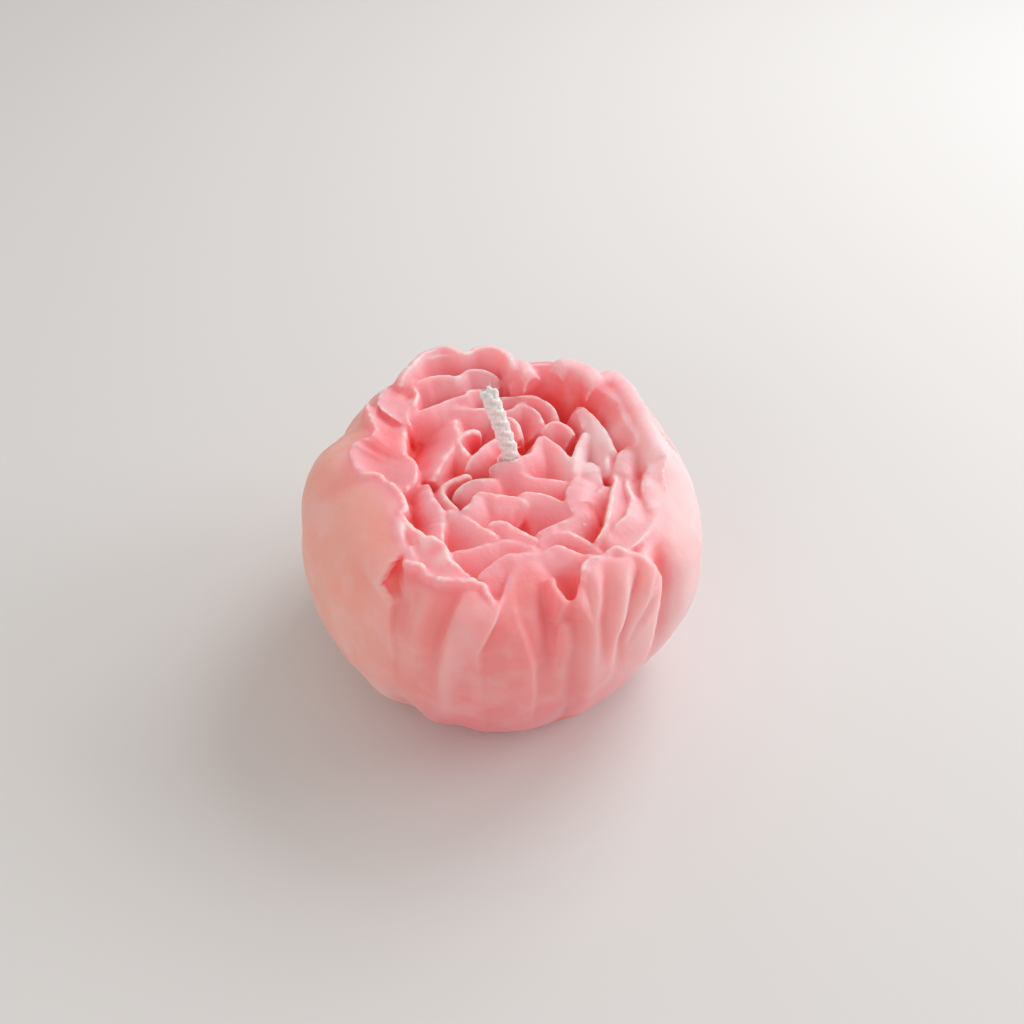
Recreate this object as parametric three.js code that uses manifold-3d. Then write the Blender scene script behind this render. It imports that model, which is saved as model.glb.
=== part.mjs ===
// A peony bloom cast in wax, with its braided cotton wick. Millimetres, +Z up.
// The bloom is one casting: a cup-shaped body with folded outer petals, and the petal blades fused onto it.
import * as THREE from 'three';
import { mergeVertices } from 'three/addons/utils/BufferGeometryUtils.js';
import Module from 'manifold-3d';

const wasm = await Module();
wasm.setup();

// ---- the cast body: [radius, height] up the outside of the wall, to where its shoulder starts to turn in
const WALL = [[22.5, 0], [24.4, 1.2], [27.6, 5], [30.4, 10], [32.6, 16], [33.4, 22], [33.1, 27]];
// How much of that radius the wall has on each side: [angle in degrees, share].
const GIRTH = [
  [-180, 0.985], [-157, 0.972], [-142, 0.992], [-135, 0.978], [-124, 0.96], [-115, 0.968], [-105, 0.99],
  [-95, 1], [-82, 0.998], [-68, 0.985], [-54, 0.98], [-42, 0.97], [-31, 0.985], [-24, 1], [-18, 1.01],
  [-10, 1], [2, 0.985], [24, 0.98], [40, 0.985], [90, 1], [150, 0.99], [180, 0.985],
];
// How late the shoulder turns in: [angle, power], where 1 is a quarter ellipse and more is a straighter wall.
const SHOULDER_TURN = [[-180, 1], [-20, 1], [0, 1.5], [15, 2.4], [150, 2.4], [165, 1.4], [180, 1]];
// The rim that the shoulder turns in to: [angle in degrees, radius, height].
const RIM_LINE = [
  [-180, 22.8, 40.3], [-174, 21.8, 39.4], [-168, 19.8, 39.1], [-160, 17.8, 39.1], [-150, 17.3, 38.9],
  [-144, 18.6, 38.4], [-138, 19.8, 38.2], [-131, 20.6, 38.1], [-126, 22.4, 38], [-121, 24.2, 37.8],
  [-116, 24.9, 37.5], [-110, 25.8, 37.4], [-104, 25.3, 37.3], [-98, 25, 37.1], [-94, 25.8, 36.8],
  [-90.5, 27.4, 36.2], [-87, 24, 37], [-82, 20.2, 37.4], [-76, 19.8, 37.5], [-72, 21.4, 36.9],
  [-69, 22.6, 35.4], [-65, 23.4, 35.2], [-60, 25.4, 37.7], [-54, 25, 37.9], [-49, 25.4, 37.9],
  [-44, 27, 37.8], [-40, 28.6, 37.3], [-35, 28.2, 37.2], [-29, 26.8, 37.8], [-22, 25.4, 38.1],
  [-14, 24.4, 38.2], [-7, 24.4, 38.5], [-2, 26, 39.2], [4, 26.9, 40.4], [9, 26.2, 41.4], [14, 25.2, 42],
  [24, 25, 42.3], [36, 25.6, 42.4], [44, 25.4, 42.5], [52, 24, 42.8], [60, 23.6, 42.9], [68, 22.6, 42.8],
  [78, 21.2, 42.7], [84, 21.3, 42.8], [90, 23, 43.3], [98, 23.8, 43.3], [106, 23.5, 43.3], [113, 25, 43.3],
  [120, 25, 43.3], [130, 23.8, 43], [138, 24.2, 41.8], [144, 24.4, 41.3], [151, 23.2, 41],
  [157, 22.2, 40.7], [163, 21, 40.6], [169, 21, 40.6], [174, 22.4, 40.5], [180, 22.8, 40.3],
];
// Inside the rim, the bowl falls to its floor: [share of the rim's radius, share of the fall].
const BOWL = [[0.95, 0.3], [0.85, 0.85], [0.5, 1]];
const BOWL_FLOOR = 34.4;
const WALL_ROWS = 8;
const SHOULDER_ROWS = 5;
const COLUMNS = 84;
const LAP_TOP = 0.6; // share of a lap's step that stands out of the wall, the rest being sunk below it
const RELIEF_FADE = 3; // a wall fold dies out over this height at each end of its path

// ---- outer petals that lap over one another on the wall: each edge runs up the wall as [height, angle in
// degrees, step]. The petal on top is on the side of `over` (+1 towards larger angles), and eases off by `fade`.
const LAPS = [
  { path: [[20, -119, 0.1], [26, -119, 0.5], [31, -120, 0.9], [34.4, -120.5, 1.3], [35, -124, 1.6],
    [35.6, -126.8, 1.8], [37.4, -127.2, 1.4]], over: -1, fade: 4 },
  { path: [[20, -109, 0.1], [28, -107, 0.7], [32, -105, 1.3], [36, -102.5, 1.5], [38.5, -99, 0.6]],
    over: 1, fade: 3.5 },
  { path: [[6, -92.5, 0.2], [14, -93, 0.4], [24, -93.5, 0.4], [31, -94.5, 0.9], [34, -92, 1.6],
    [36.8, -88, 1.8]], over: -1, fade: 4 },
  { path: [[8, -80, 0.2], [17, -80.5, 0.6], [23, -80, 0.9], [29, -80.5, 1], [32, -82, 0.8], [36, -85, 0.4]],
    over: -1, fade: 3 },
  { path: [[26, -76, 0.2], [31, -74.5, 1.3], [35, -71.5, 2], [37, -71, 1.4]], over: 1, fade: 3 },
  { path: [[14, -43, 0.3], [22, -41.5, 1.3], [30, -40.5, 2.2], [34, -39, 2], [37, -40, 1]],
    over: -1, fade: 4 },
  { path: [[8, 8, 0.3], [20, 12, 1], [30, 17, 1.3], [38, 20, 0.8]], over: 1, fade: 6 },
  { path: [[5, 58, 0.4], [18, 55, 1], [30, 49, 1.4], [38, 46, 0.8]], over: -1, fade: 6 },
  { path: [[4, 93, 0.4], [16, 90, 0.9], [28, 88, 1.2], [38, 86, 0.8]], over: 1, fade: 6 },
  { path: [[6, 128, 0.4], [20, 133, 1.1], [32, 137, 1.4], [38, 139, 0.8]], over: -1, fade: 6 },
  { path: [[12, 172, 0.2], [24, 168, 0.6], [33, 166, 0.8], [38, 165, 0.4]], over: 1, fade: 6 },
  { path: [[4, -152, 0.2], [16, -157, 0.5], [26, -160, 0.5], [34, -158, 0.3]], over: 1, fade: 5 },
];

// ---- soft folds of the outer petals: [height, angle, rise] up the wall, minus for a hollow; half width
const FOLDS = [
  { path: [[18, -117, 0], [27, -117, -0.6], [35, -117, -0.9], [38, -118, -0.5]], width: 1.8 },
  { path: [[12, -105, 0.4], [20, -103.5, 0.9], [27, -103, 1], [35, -99, 0.6]], width: 2 },
  { path: [[10, -122, 0], [24, -115, 0.4], [34, -112, 1], [38, -111, 0.9]], width: 2.6 },
  { path: [[23, -107, -0.3], [29, -106, -0.9], [32, -105, -0.8], [36, -103, -0.6]], width: 0.9 },
  { path: [[22, -77, 0], [30, -76, -1.2], [34, -75, -2], [36, -75, -1]], width: 1.6 },
  { path: [[6, -69, -0.5], [18, -69.5, -0.9], [28, -69, -1], [34, -68, -0.6]], width: 1.6 },
  { path: [[8, -65, 0.4], [19, -65, 0.8], [28, -64.5, 1], [34, -63, 1], [38, -59, 0.9]], width: 2 },
  { path: [[32.4, -69.5, -0.3], [34.6, -69, -2], [36, -67.5, -2.8], [37.6, -64, -1.6]], width: 1.6 },
  { path: [[24, -62, 0], [32, -60.5, -1.2], [36, -57, -1.3], [38, -53.5, -0.8]], width: 1.2 },
  { path: [[20, -60, 0.3], [29, -58, 0.9], [33, -55, 1.1], [36.5, -51, 1.1], [38.5, -47, 0.7]],
    width: 1.4 },
  { path: [[24, -56, -0.6], [29, -55, -1], [33.5, -49, -1.1], [37, -43, -0.9]], width: 1 },
  { path: [[24, -54, 0], [28, -49, -0.7], [31, -44.5, -0.7], [33, -42, 0]], width: 0.8 },
  { path: [[12, -38, -0.3], [23, -38, -1.3], [30, -37, -1.5], [36, -35, -0.8]], width: 2.4 },
  { path: [[16, -32, 0], [24, -29, 0.6], [31, -27, 0.5]], width: 3 },
  { path: [[2, -131, 0.5], [10, -128, 1.1], [20, -125, 0.5]], width: 4 },
  { path: [[2, -121, -0.5], [9, -121, -0.7], [18, -120, -0.3]], width: 2.5 },
  { path: [[2, -113, 0.4], [8, -112, 0.7], [18, -112, 0.3]], width: 3 },
  { path: [[2, -104, -0.3], [9, -103, -0.5], [16, -103, 0]], width: 2 },
  { path: [[3, -145, -0.3], [18, -150, -0.4], [34, -152, -0.2]], width: 6 },
  { path: [[4, -168, 0.2], [18, -166, 0.4], [34, -164, 0.2]], width: 8 },
  { path: [[24, -175, 0], [32, -171, -0.5], [38, -170, -0.8]], width: 2.5 },
  { path: [[4, -18, 0.2], [16, -16, 0.4], [34, -14, 0.3]], width: 7 },
  { path: [[10, 15, 0], [24, 20, -0.6], [38, 24, -0.8]], width: 2.4 },
  { path: [[6, 30, 0.5], [20, 33, 0.8], [36, 34, 0.6]], width: 5 },
  { path: [[10, 45, 0], [24, 42, -0.8], [38, 40, -1]], width: 2.2 },
  { path: [[4, 62, 0.3], [20, 64, 0.7], [38, 62, 0.8]], width: 3 },
  { path: [[6, 74, -0.5], [22, 70, -0.9], [36, 68, -0.8]], width: 3 },
  { path: [[12, 84, 0], [26, 82, -0.7], [38, 80, -1]], width: 2 },
  { path: [[8, 100, 0.2], [22, 101, 0.6], [38, 99, 0.7]], width: 2.6 },
  { path: [[6, 110, 0.4], [24, 112, 0.7], [36, 114, 0.5]], width: 5 },
  { path: [[14, 122, 0], [28, 124, -0.8], [38, 124, -1]], width: 2 },
  { path: [[6, 140, 0.3], [22, 143, 0.6], [38, 144, 0.6]], width: 3 },
  { path: [[8, 150, -0.4], [24, 153, -0.8], [36, 152, -0.6]], width: 3 },
];

// ---- petal blades. A crest runs anticlockwise round the bloom as [x, y, height]; `inner` and `outer` are how
// far the blade spreads to its two sides at the root, and the power of each side's curve (1 straight, more is
// rounder). Where one of them is a line of points instead, the blade's face runs down to that line.
const ROOT_HEIGHT = 32.8; // every blade is rooted in the body at this height
const TIP = 1.2; // thickness just under a crest
const TIP_DROP = 0.5; // how far the rounded lip falls to that thickness
const LIP_SHARE = 0.3; // half width of the flat on the lip, as a share of the thickness
// A side that spreads less than this drops from a rounded lip, and a wider one falls straight from the crest.
const SHEER = 2.6;
const FACE_ROWS = [0.04, 0.3, 0.6, 1]; // where such a wide side has its corners, as shares of its spread
const END_SINK = 0.7; // a crest's two ends sink by this
const STEP = 2.8; // length of crest in one straight stretch
const BEND_LIMIT = 0.8; // share of a bend's radius that a blade may fill on its inside
const RAMP_SAG = 0.12; // how far a face hangs below the line to its other edge, as a share of its width

const HEART = [
  { crest: [[-1.6, -1, 39.3], [0.2, -0.7, 39.5], [2.1, -0.4, 39.5], [4, 0.9, 39.6], [5.3, 1.9, 39.5],
    [6, 3.9, 39.5], [6.8, 6.3, 39.7]], inner: [1, 1], outer: [8, 1.2] },
  { crest: [[12.5, -2.8, 39], [11, 0.7, 39.5], [9.6, 3, 39.7], [8, 4.9, 39.7], [6.8, 6.6, 39.5]],
    inner: [7, 1.3], outer: [1, 1] },
  { crest: [[2.4, -1, 38.6], [5, -2.9, 38.5], [7.3, -3.4, 38.6], [9.7, -3.8, 38.5], [11.4, -3.8, 38.2]],
    inner: [0.9, 1], outer: [8, 1.25] },
  { crest: [[-7, -6.6, 37.8], [-5.9, -5.6, 38.7], [-4.6, -4.6, 39], [-2.9, -4.1, 39], [-1.3, -3.5, 38.7],
    [0.4, -2.8, 38]], inner: [1.2, 1], outer: [6, 1.2] },
  { crest: [[0.6, 7.4, 38.4], [-0.3, 6, 39], [-1.4, 5, 39], [-2.7, 3, 39.2], [-4.2, 1, 39],
    [-5.2, -0.4, 38]], inner: [5, 1.2], outer: [1, 1] },
  { crest: [[-3.2, 8.8, 38.8], [-5.4, 7.6, 39.1], [-6.7, 5.4, 39.1], [-5.8, 3.2, 39], [-4.4, 1.3, 38.8]],
    inner: [1.1, 1], outer: [4, 1.3] },
  { crest: [[-7.4, 11.6, 39], [-7.3, 9.2, 39.1], [-6.6, 6.8, 39.2], [-7.6, 3.8, 39], [-9, 0.6, 38.9],
    [-10.4, -3, 38.6]], inner: [2.4, 1.4], outer: [9, 1.2] },
  { crest: [[-4.4, -1.8, 38.6], [-6.8, -3.1, 38.6], [-8.5, -4.5, 38.6], [-8.8, -6.3, 38.5], [-8, -8, 38.4],
    [-5.8, -10.2, 38]], inner: [1.2, 1], outer: [3, 1.3] },
  { crest: [[12.2, 7.4, 39.3], [10.5, 8.9, 39.6], [9.2, 9.3, 39.6], [6.9, 7.9, 39.3]], inner: [5, 1.2],
    outer: [1, 1] },
  { crest: [[7.2, 8.7, 39.4], [6.4, 11.2, 39.6], [5.1, 13.1, 39.6], [3.3, 13.9, 39.7], [2.4, 13, 39.5],
    [0.5, 12.5, 39.3], [-1.6, 12.4, 39]], inner: [6, 1.2], outer: [1, 1] },
  { crest: [[9.6, 11, 39.4], [8.1, 13.8, 40], [6.8, 14.8, 40], [5.1, 15.4, 40.1], [2.6, 15.4, 40],
    [0.1, 15.6, 39.8], [-2.4, 15.2, 39.6]], inner: [4, 1.4], outer: [1.2, 1] },
  { crest: [[3.6, 6.7, 39.2], [2.8, 9, 39.6], [1.6, 10, 39.8], [0.5, 9.3, 39.6], [-0.2, 8.2, 39.2]],
    inner: [4, 1.3], outer: [1, 1] },
];

const FRONT = [
  { crest: [[-6.4, -11.2, 37.6], [-4.9, -9.7, 38.4], [-3.9, -8.7, 38.6], [-3.6, -7.2, 38.6],
    [-2.6, -6.6, 38.6], [0, -7.4, 38.5], [3.2, -7.7, 38.5], [5, -9.4, 37.6]], inner: [1, 1],
    outer: [9, 1.18] },
  { crest: [[2.8, -7, 38.2], [3.9, -6.6, 38.6], [6.5, -6.8, 38.6], [8.9, -7.9, 38.5], [10.8, -9.2, 38.4],
    [12.4, -11, 38]], inner: [1, 1], outer: [9, 1.18] },
  { crest: [[-9, -10.4, 38], [-7.4, -10.1, 38.1], [-6.2, -10.6, 38], [-4.8, -11.9, 38], [-3.2, -13.1, 38],
    [-1.8, -14.1, 38], [0, -15.6, 37.8]], inner: [1, 1], outer: [10, 1.2] },
  { crest: [[-1.9, -13.9, 37.4], [-0.6, -12.6, 38], [0.8, -12.7, 38.1], [2.6, -13.9, 38], [4.8, -15.3, 38],
    [6.4, -16.3, 37.6]], inner: [1, 1], outer: [7, 1.2] },
  { crest: [[5.6, -14.9, 37.8], [7.9, -13.6, 38], [9.4, -12.7, 38.1], [11, -11.9, 38.1], [12.9, -10.4, 38],
    [14.8, -9.6, 37.8]], inner: [1, 1], outer: [7, 1.2] },
  { crest: [[13, -9, 38], [13.6, -8.3, 38.3], [15.3, -6.4, 38.5], [17.5, -4.3, 38.4]], inner: [1, 1],
    outer: [6, 1.2] },
  { crest: [[6.2, -17.4, 37.4], [6.5, -15.9, 37.6], [7.3, -15, 37.8], [9.1, -14.6, 37.8],
    [10.8, -14.7, 37.8], [12.7, -15.6, 37.6], [14, -17, 37.5], [15.6, -18.5, 37.3]], inner: [1, 1],
    outer: [5, 1.25] },
  { crest: [[-7.6, -19, 37.3], [-6.4, -18.5, 37.5], [-4.1, -18, 37.6], [-1.2, -16.9, 37.7],
    [0.3, -16.4, 37.8], [2.6, -16.3, 37.7], [4.8, -17.5, 37.5], [6.5, -18.2, 37.3]], inner: [1, 1],
    outer: [9, 1.2] },
  { crest: [[-3.4, -24, 36.8], [-2.6, -23, 37.2], [-1.3, -21.6, 37.5], [0, -20.3, 37.7], [1.6, -19.4, 37.8],
    [4.8, -18.8, 37.8], [7.2, -18.2, 37.6], [8.7, -17.2, 37.7], [10.8, -18.1, 37.6], [13.7, -19, 37.5],
    [16.2, -19.5, 37.4]], inner: [1, 1], outer: [8.5, 1.3] },
];

const RIGHT = [
  { crest: [[12.5, -2.6, 39.2], [12.1, -0.8, 39.4], [12.2, 1.2, 39.5], [12.9, 3.6, 39.5], [13.7, 5.8, 39.5],
    [14.4, 7.6, 39.3]], inner: [1, 1], outer: [3, 2] },
  { crest: [[12.3, -11, 38.4], [11.2, -9.8, 38.8], [10.9, -8.4, 39], [11.3, -5.3, 39], [12.5, -2.4, 38.8]],
    inner: [1, 1], outer: [6, 4] },
  { crest: [[16, -4.8, 38.3], [15.7, -2.6, 38.6], [15, -0.2, 38.7], [14, 1.2, 38.6]], inner: [4.5, 4],
    outer: [1, 1] },
  { crest: [[14.4, 7, 39.2], [14.1, 8.7, 39.5], [13.4, 11.2, 39.7], [13.3, 13.6, 39.9]], inner: [1, 1],
    outer: [3, 2.2] },
  { crest: [[18.9, 1.2, 39.6], [17.9, 3.1, 40], [17.3, 5.5, 40], [16.5, 7.5, 40.1], [15.1, 10.5, 40.1],
    [13.3, 13.2, 40.1]], inner: [4, 2.5], outer: [1, 1] },
  { crest: [[17.4, -2.2, 39], [17, 1.4, 39.4], [16.3, 4.9, 39.5], [14.8, 9.5, 39.8]], inner: [2.5, 2],
    outer: [2.5, 2] },
  { crest: [[18.6, -3.4, 38.6], [18.8, -1.2, 39.5], [19.4, 0.6, 40], [20.6, 2.3, 40.1], [22.9, 4.2, 40.2]],
    inner: [1, 1], outer: [5, 2.5] },
  { crest: [[14.4, -17, 37.6], [15.2, -16.1, 38.2], [16.3, -14.2, 38.7], [17.1, -10.9, 38.9],
    [17.6, -7.6, 39], [18.4, -4.2, 39], [18, -2, 39]], inner: [1.4, 1], outer: [[14.7, -17.6, 37.3],
    [16, -15.8, 37.5], [17.5, -13.3, 37.6], [18.8, -11.6, 37.6], [19.6, -9.9, 37.6], [20.1, -7.3, 37.5],
    [20, -4.8, 37.6], [19.6, -2.5, 37.8]] },
  { crest: [[15.6, -17.2, 37.5], [17, -14.9, 38], [18.6, -12.9, 38.4], [19.9, -11.3, 38.6],
    [20.7, -8.2, 38.7], [20.5, -5.9, 38.7], [20.2, -2.8, 38.5]], inner: [1, 1], outer: [[17, -19, 37.4],
    [18.8, -18.4, 37.7], [20.8, -17, 37.9], [22.8, -14.6, 38], [23.8, -11.8, 38], [23, -9.2, 37.7],
    [22.5, -7, 37], [22.5, -4.5, 36.8], [22.3, -2.2, 37.2]] },
];

const BACK = [
  { crest: [[22.3, 2.2, 41.6], [21.3, 4.6, 42], [20.2, 8, 42], [19.6, 11.2, 42], [18.3, 13.4, 42],
    [16.6, 14.9, 42], [14, 17.2, 42], [12.9, 17, 42], [11.8, 17.6, 42], [10.2, 19.4, 42], [7.7, 20.4, 42],
    [5.2, 19.9, 42], [3.3, 18.3, 41.8], [1.6, 17.6, 41.2]], inner: [5.4, 1.1], outer: [6, 4] },
  { crest: [[17, 15.6, 43], [15.5, 17.9, 43.5], [13.9, 19.6, 43.5], [12.3, 20.6, 43.5], [10.6, 20.7, 43.5],
    [9, 19.2, 43]], inner: [4, 4], outer: [4, 2.4] },
  { crest: [[25.8, 0.4, 41], [24.7, 3, 42.3], [23.2, 8, 43], [21.4, 14.3, 43], [20.3, 16.8, 43],
    [18.9, 18.2, 43], [17.7, 17.6, 43], [16.7, 16, 42.6]], inner: [4, 3], outer: [4, 2.4] },
  { crest: [[5.6, 17.6, 43], [4.6, 18.9, 43.5], [3.5, 20.5, 43.5], [1.8, 20.6, 43.2]], inner: [3, 3.5],
    outer: [4, 2.4] },
  { crest: [[4.2, 17.2, 42.6], [2.2, 19.6, 43.8], [0.9, 22.4, 44], [-1.6, 24, 44], [-3.7, 23.6, 44],
    [-6.2, 22.2, 44], [-9.2, 24, 44], [-11.6, 23, 44], [-13.5, 20.8, 44], [-15.2, 17.7, 43.8],
    [-16.4, 15.4, 43]], inner: [3.4, 1.1], outer: [4, 2.4] },
  { crest: [[0.4, 19, 40.6], [-2.2, 20, 41.7], [-5, 20.2, 42], [-7, 18.4, 42], [-9.2, 18.5, 42],
    [-11.8, 18, 42], [-14.4, 16.6, 42], [-16.8, 16.6, 41.8]], inner: [4.4, 1.5], outer: [1.2, 1] },
  { crest: [[-2, 17.4, 39.8], [-4.2, 17, 40.3], [-5.8, 15.6, 40.5], [-8.6, 14, 40.5], [-10.4, 12.6, 40.5],
    [-12.2, 11.6, 40.5], [-14, 10.8, 40.4], [-15.6, 9.4, 40.2]], inner: [4, 1.5], outer: [1.2, 1] },
  { crest: [[-0.6, 12.6, 38.8], [-2.5, 13, 39.3], [-4.9, 13.2, 39.5], [-8.2, 13.1, 39.5],
    [-11.5, 12.4, 39.5], [-13.3, 11.6, 39.4], [-14.8, 10.4, 39.3]], inner: [6, 1.2], outer: [1, 1] },
];

// The inner edge of the broad left petal, which the face below its rim runs down to.
const LEFT_EDGE = [
  [-14.7, 9.8, 39.6], [-15.5, 7.8, 39.6], [-15.7, 5.3, 39.6], [-15.5, 2.9, 39.5], [-14.8, 1, 39.5],
  [-13.5, -0.7, 39.5], [-13, -2.5, 39.4], [-13.4, -4.1, 39.2], [-14.2, -5.3, 39], [-15.1, -6.5, 38.8],
];

const RIM = [
  { crest: [[-16.4, 16.5, 41.6], [-19, 16.3, 42], [-20.3, 14.8, 42], [-20.2, 11, 41.8], [-18, 9.2, 41],
    [-15.8, 8, 40.4]], outer: [3, 1.8], inner: [[-15.6, 16.2, 41.6], [-14.5, 15.3, 41.5],
    [-14.1, 13.6, 41.3], [-14.5, 12, 41.1], [-15, 10.6, 40.8], [-14.9, 9.4, 40.4], [-14.3, 8.2, 40]] },
  { crest: [[-15.2, 11.2, 41], [-14, 12.6, 41.5], [-13.7, 14.7, 41.8], [-14.6, 16.2, 42],
    [-15.9, 16.4, 42]], inner: [1, 1], outer: [1.2, 1] },
  { crest: [[-21.8, 12.8, 41.2], [-21.2, 9.4, 41.4], [-19.8, 6.1, 41], [-20.4, 4, 41], [-22.3, 3.2, 41],
    [-23.2, 1.2, 40.8], [-23, -0.8, 40.4], [-21.6, -2.8, 39.8]], inner: LEFT_EDGE, outer: [2.4, 1.6] },
  { crest: [[-22.6, -2, 39.6], [-21.3, -3, 39.6], [-19.4, -3.3, 39.6], [-17.6, -4.8, 39.6],
    [-16, -6.4, 39.6], [-14.7, -8.3, 39.4], [-14.3, -10, 39.2], [-15.9, -11.8, 38.7]], inner: [1.2, 1],
    outer: [3, 1.8] },
  { crest: LEFT_EDGE, inner: [1.3, 1], outer: [1, 1] },
  { crest: [[-11.4, -3.4, 38.2], [-10.8, -6.6, 38.5], [-9.7, -8.8, 38.5], [-8.8, -10.8, 38.4],
    [-8.5, -13, 38.2], [-8.9, -16.4, 37.8]], inner: [1, 1], outer: [5, 2] },
  { crest: [[-16, -10.9, 38.8], [-14.9, -12.1, 38.9], [-13.6, -13.5, 38.8], [-12.3, -15, 38.8],
    [-11, -16.1, 38.6], [-9.8, -16.3, 38.6], [-8.9, -16.9, 38.5], [-8.1, -17.9, 38.5], [-7.6, -19.5, 38.4],
    [-7, -21, 38.3], [-6.2, -21.7, 38.2], [-5.3, -22.7, 38], [-3.6, -24, 37.6]], inner: [1, 1],
    outer: [[-15.8, -11.4, 38.3], [-14.6, -13.4, 37.7], [-14.1, -15.8, 37.2], [-13.2, -18.4, 37.1],
    [-11.9, -20.3, 37.4], [-10.8, -22, 37.8], [-9.4, -23.4, 38], [-7.4, -24, 38], [-5, -24.2, 37.8],
    [-3.4, -24.6, 37.4]] },
  { crest: [[-16.2, -11.2, 38.5], [-15.2, -12.6, 38.6], [-14.7, -14.4, 38.5], [-14.5, -16.6, 38.4],
    [-14.7, -18.4, 38.1], [-15.3, -19.6, 37.6], [-16, -20.8, 37.1], [-16.8, -22.1, 36.3]], inner: [1, 1],
    outer: [5.5, 1.8] },
  { crest: [[-14.2, -20, 37.8], [-13, -21.2, 38.5], [-11.6, -21.9, 39], [-10.8, -23, 38.8],
    [-9.4, -24.5, 38.6], [-7.6, -24.7, 38.7], [-5.6, -24.7, 38.6], [-3.8, -24.5, 38.4], [-2.3, -25.1, 38],
    [-1.5, -26.7, 37.4], [0, -28.4, 36.6]], inner: [1.2, 1], outer: [2.4, 1.6] },
  { crest: [[7.6, -23, 37.7], [8.5, -24.9, 37.5], [9.3, -26.4, 37], [10.1, -27.6, 36.4]], inner: [1, 1],
    outer: [2, 1.4], tip: 2 },
  { crest: [[11, -27.4, 36.4], [11.9, -24.4, 37.5], [12.5, -22.4, 38], [13.4, -20.8, 38.3],
    [14.6, -20, 38.4], [16, -19.4, 38.2]], inner: [1, 1], outer: [3, 1.6] },
  { crest: [[15.4, -20.2, 37.8], [16.2, -18.9, 38.2], [17.8, -18.1, 38.4], [18.8, -18.8, 38.2],
    [20.6, -19.1, 38], [22.1, -20, 37.4], [23.6, -20.6, 36.6]], inner: [1.2, 1], outer: [3, 1.6] },
  { crest: [[24.5, -11.4, 37.6], [23.7, -10.5, 38.2], [23.4, -9.2, 38.4], [23, -7.3, 38.5],
    [22.9, -4.8, 38.6], [23.2, -2.8, 38.8], [24, -0.6, 39.2]], inner: [1.2, 1], outer: [5, 2.2] },
  { crest: [[26.2, -6.4, 37.6], [26.9, -3.6, 38.8], [27.3, -1, 39.9], [27.5, 1.2, 40.7], [27.3, 3, 41],
    [26.6, 4.8, 41.2]], outer: [3, 2], inner: [[24.6, -5.6, 37.6], [23.9, -3.2, 38.6], [23.5, -1.2, 39.3],
    [23.5, 0.6, 39.9], [23.8, 2.3, 40.4], [24.3, 4, 40.8]] },
];

const PETALS = [...HEART, ...FRONT, ...RIGHT, ...BACK, ...RIM];

// ---- the tuck where an outer petal stands off the wall: its corners as [angle, height], the depth at each
const TUCK = {
  corners: [[-126.6, 37.4], [-126.8, 35.6], [-120, 34.3], [-119.2, 36], [-123, 37.9]],
  depths: [1, 2.6, 0.5, 0.3, 0.8],
};
const TUCK_CLEAR = 3;

// ---- the wick
const WICK_RADIUS = 1.2;
const WICK_SIDES = 10;
const WICK_GAP = 0.3;
const WICK_FOOT = 0.5;
const WICK_PATH = [[1.8, 1.7, WICK_FOOT], [1.8, 1.7, 20], [1.9, 1.7, 37.4], [1.8, 1.7, 39.4], [1.2, 1.65, 42],
  [0.15, 1.5, 46.1], [-0.8, 1.35, 49.6], [-1.44, 1.24, 52.1]];
const WICK_STEPS = 16;
const SEAT = { radius: 2.3, foot: 30, top: 38 };

const WAX_COLOUR = 0xf0888c;
const MERGE = 1e-4;
const COTTON_COLOUR = 0xeeeae4;

// ---- small helpers
const radians = (degrees) => (degrees * Math.PI) / 180;
const clamp = (value, low, high) => Math.min(high, Math.max(low, value));
const smooth = (t) => t * t * (3 - 2 * t);

// A column of a path's points at a key, which is their first column, straight between the points.
function along(path, key, column = 1) {
  const after = path.findIndex(([k]) => k > key);
  if (after === 0) return path[0][column];
  if (after < 0) return path[path.length - 1][column];
  const [from, to] = [path[after - 1], path[after]];
  return from[column] + ((to[column] - from[column]) * (key - from[0])) / (to[0] - from[0]);
}

// 1 within a path's heights, easing to 0 over RELIEF_FADE outside them.
function reach(path, height) {
  const below = path[0][0] - height;
  const above = height - path[path.length - 1][0];
  return smooth(clamp(1 - Math.max(below, above, 0) / RELIEF_FADE, 0, 1));
}

// Signed distance in millimetres round the wall from a path's angle to the given one.
function besides(path, angle, height, radius) {
  const turn = ((angle - along(path, height) + 540) % 360) - 180;
  return radians(turn) * radius;
}

// How far the wall stands out from its plain profile at an angle and a height.
function relief(angle, height, radius) {
  let rise = 0;
  for (const { path, over, fade } of LAPS) {
    const side = besides(path, angle, height, radius) * over;
    const step = along(path, height, 2) * reach(path, height);
    rise += (side > 0 ? LAP_TOP : LAP_TOP - 1) * step * Math.exp(-((side / fade) ** 2));
  }
  for (const { path, width } of FOLDS) {
    const side = besides(path, angle, height, radius);
    rise += along(path, height, 2) * reach(path, height) * Math.exp(-((side / width) ** 2));
  }
  return rise * smooth(clamp(height / RELIEF_FADE, 0, 1));
}

// A manifold-3d solid from points and triangles that are closed and face out, or face in throughout.
function solid(points, faces) {
  const flat = new Float32Array(points.flat());
  const make = (triangles) => {
    const triVerts = new Uint32Array(triangles.flat());
    return new wasm.Manifold(new wasm.Mesh({ numProp: 3, vertProperties: flat, triVerts }));
  };
  const made = make(faces);
  return made.volume() < 0 ? make(faces.map(([a, b, c]) => [a, c, b])) : made;
}

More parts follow.
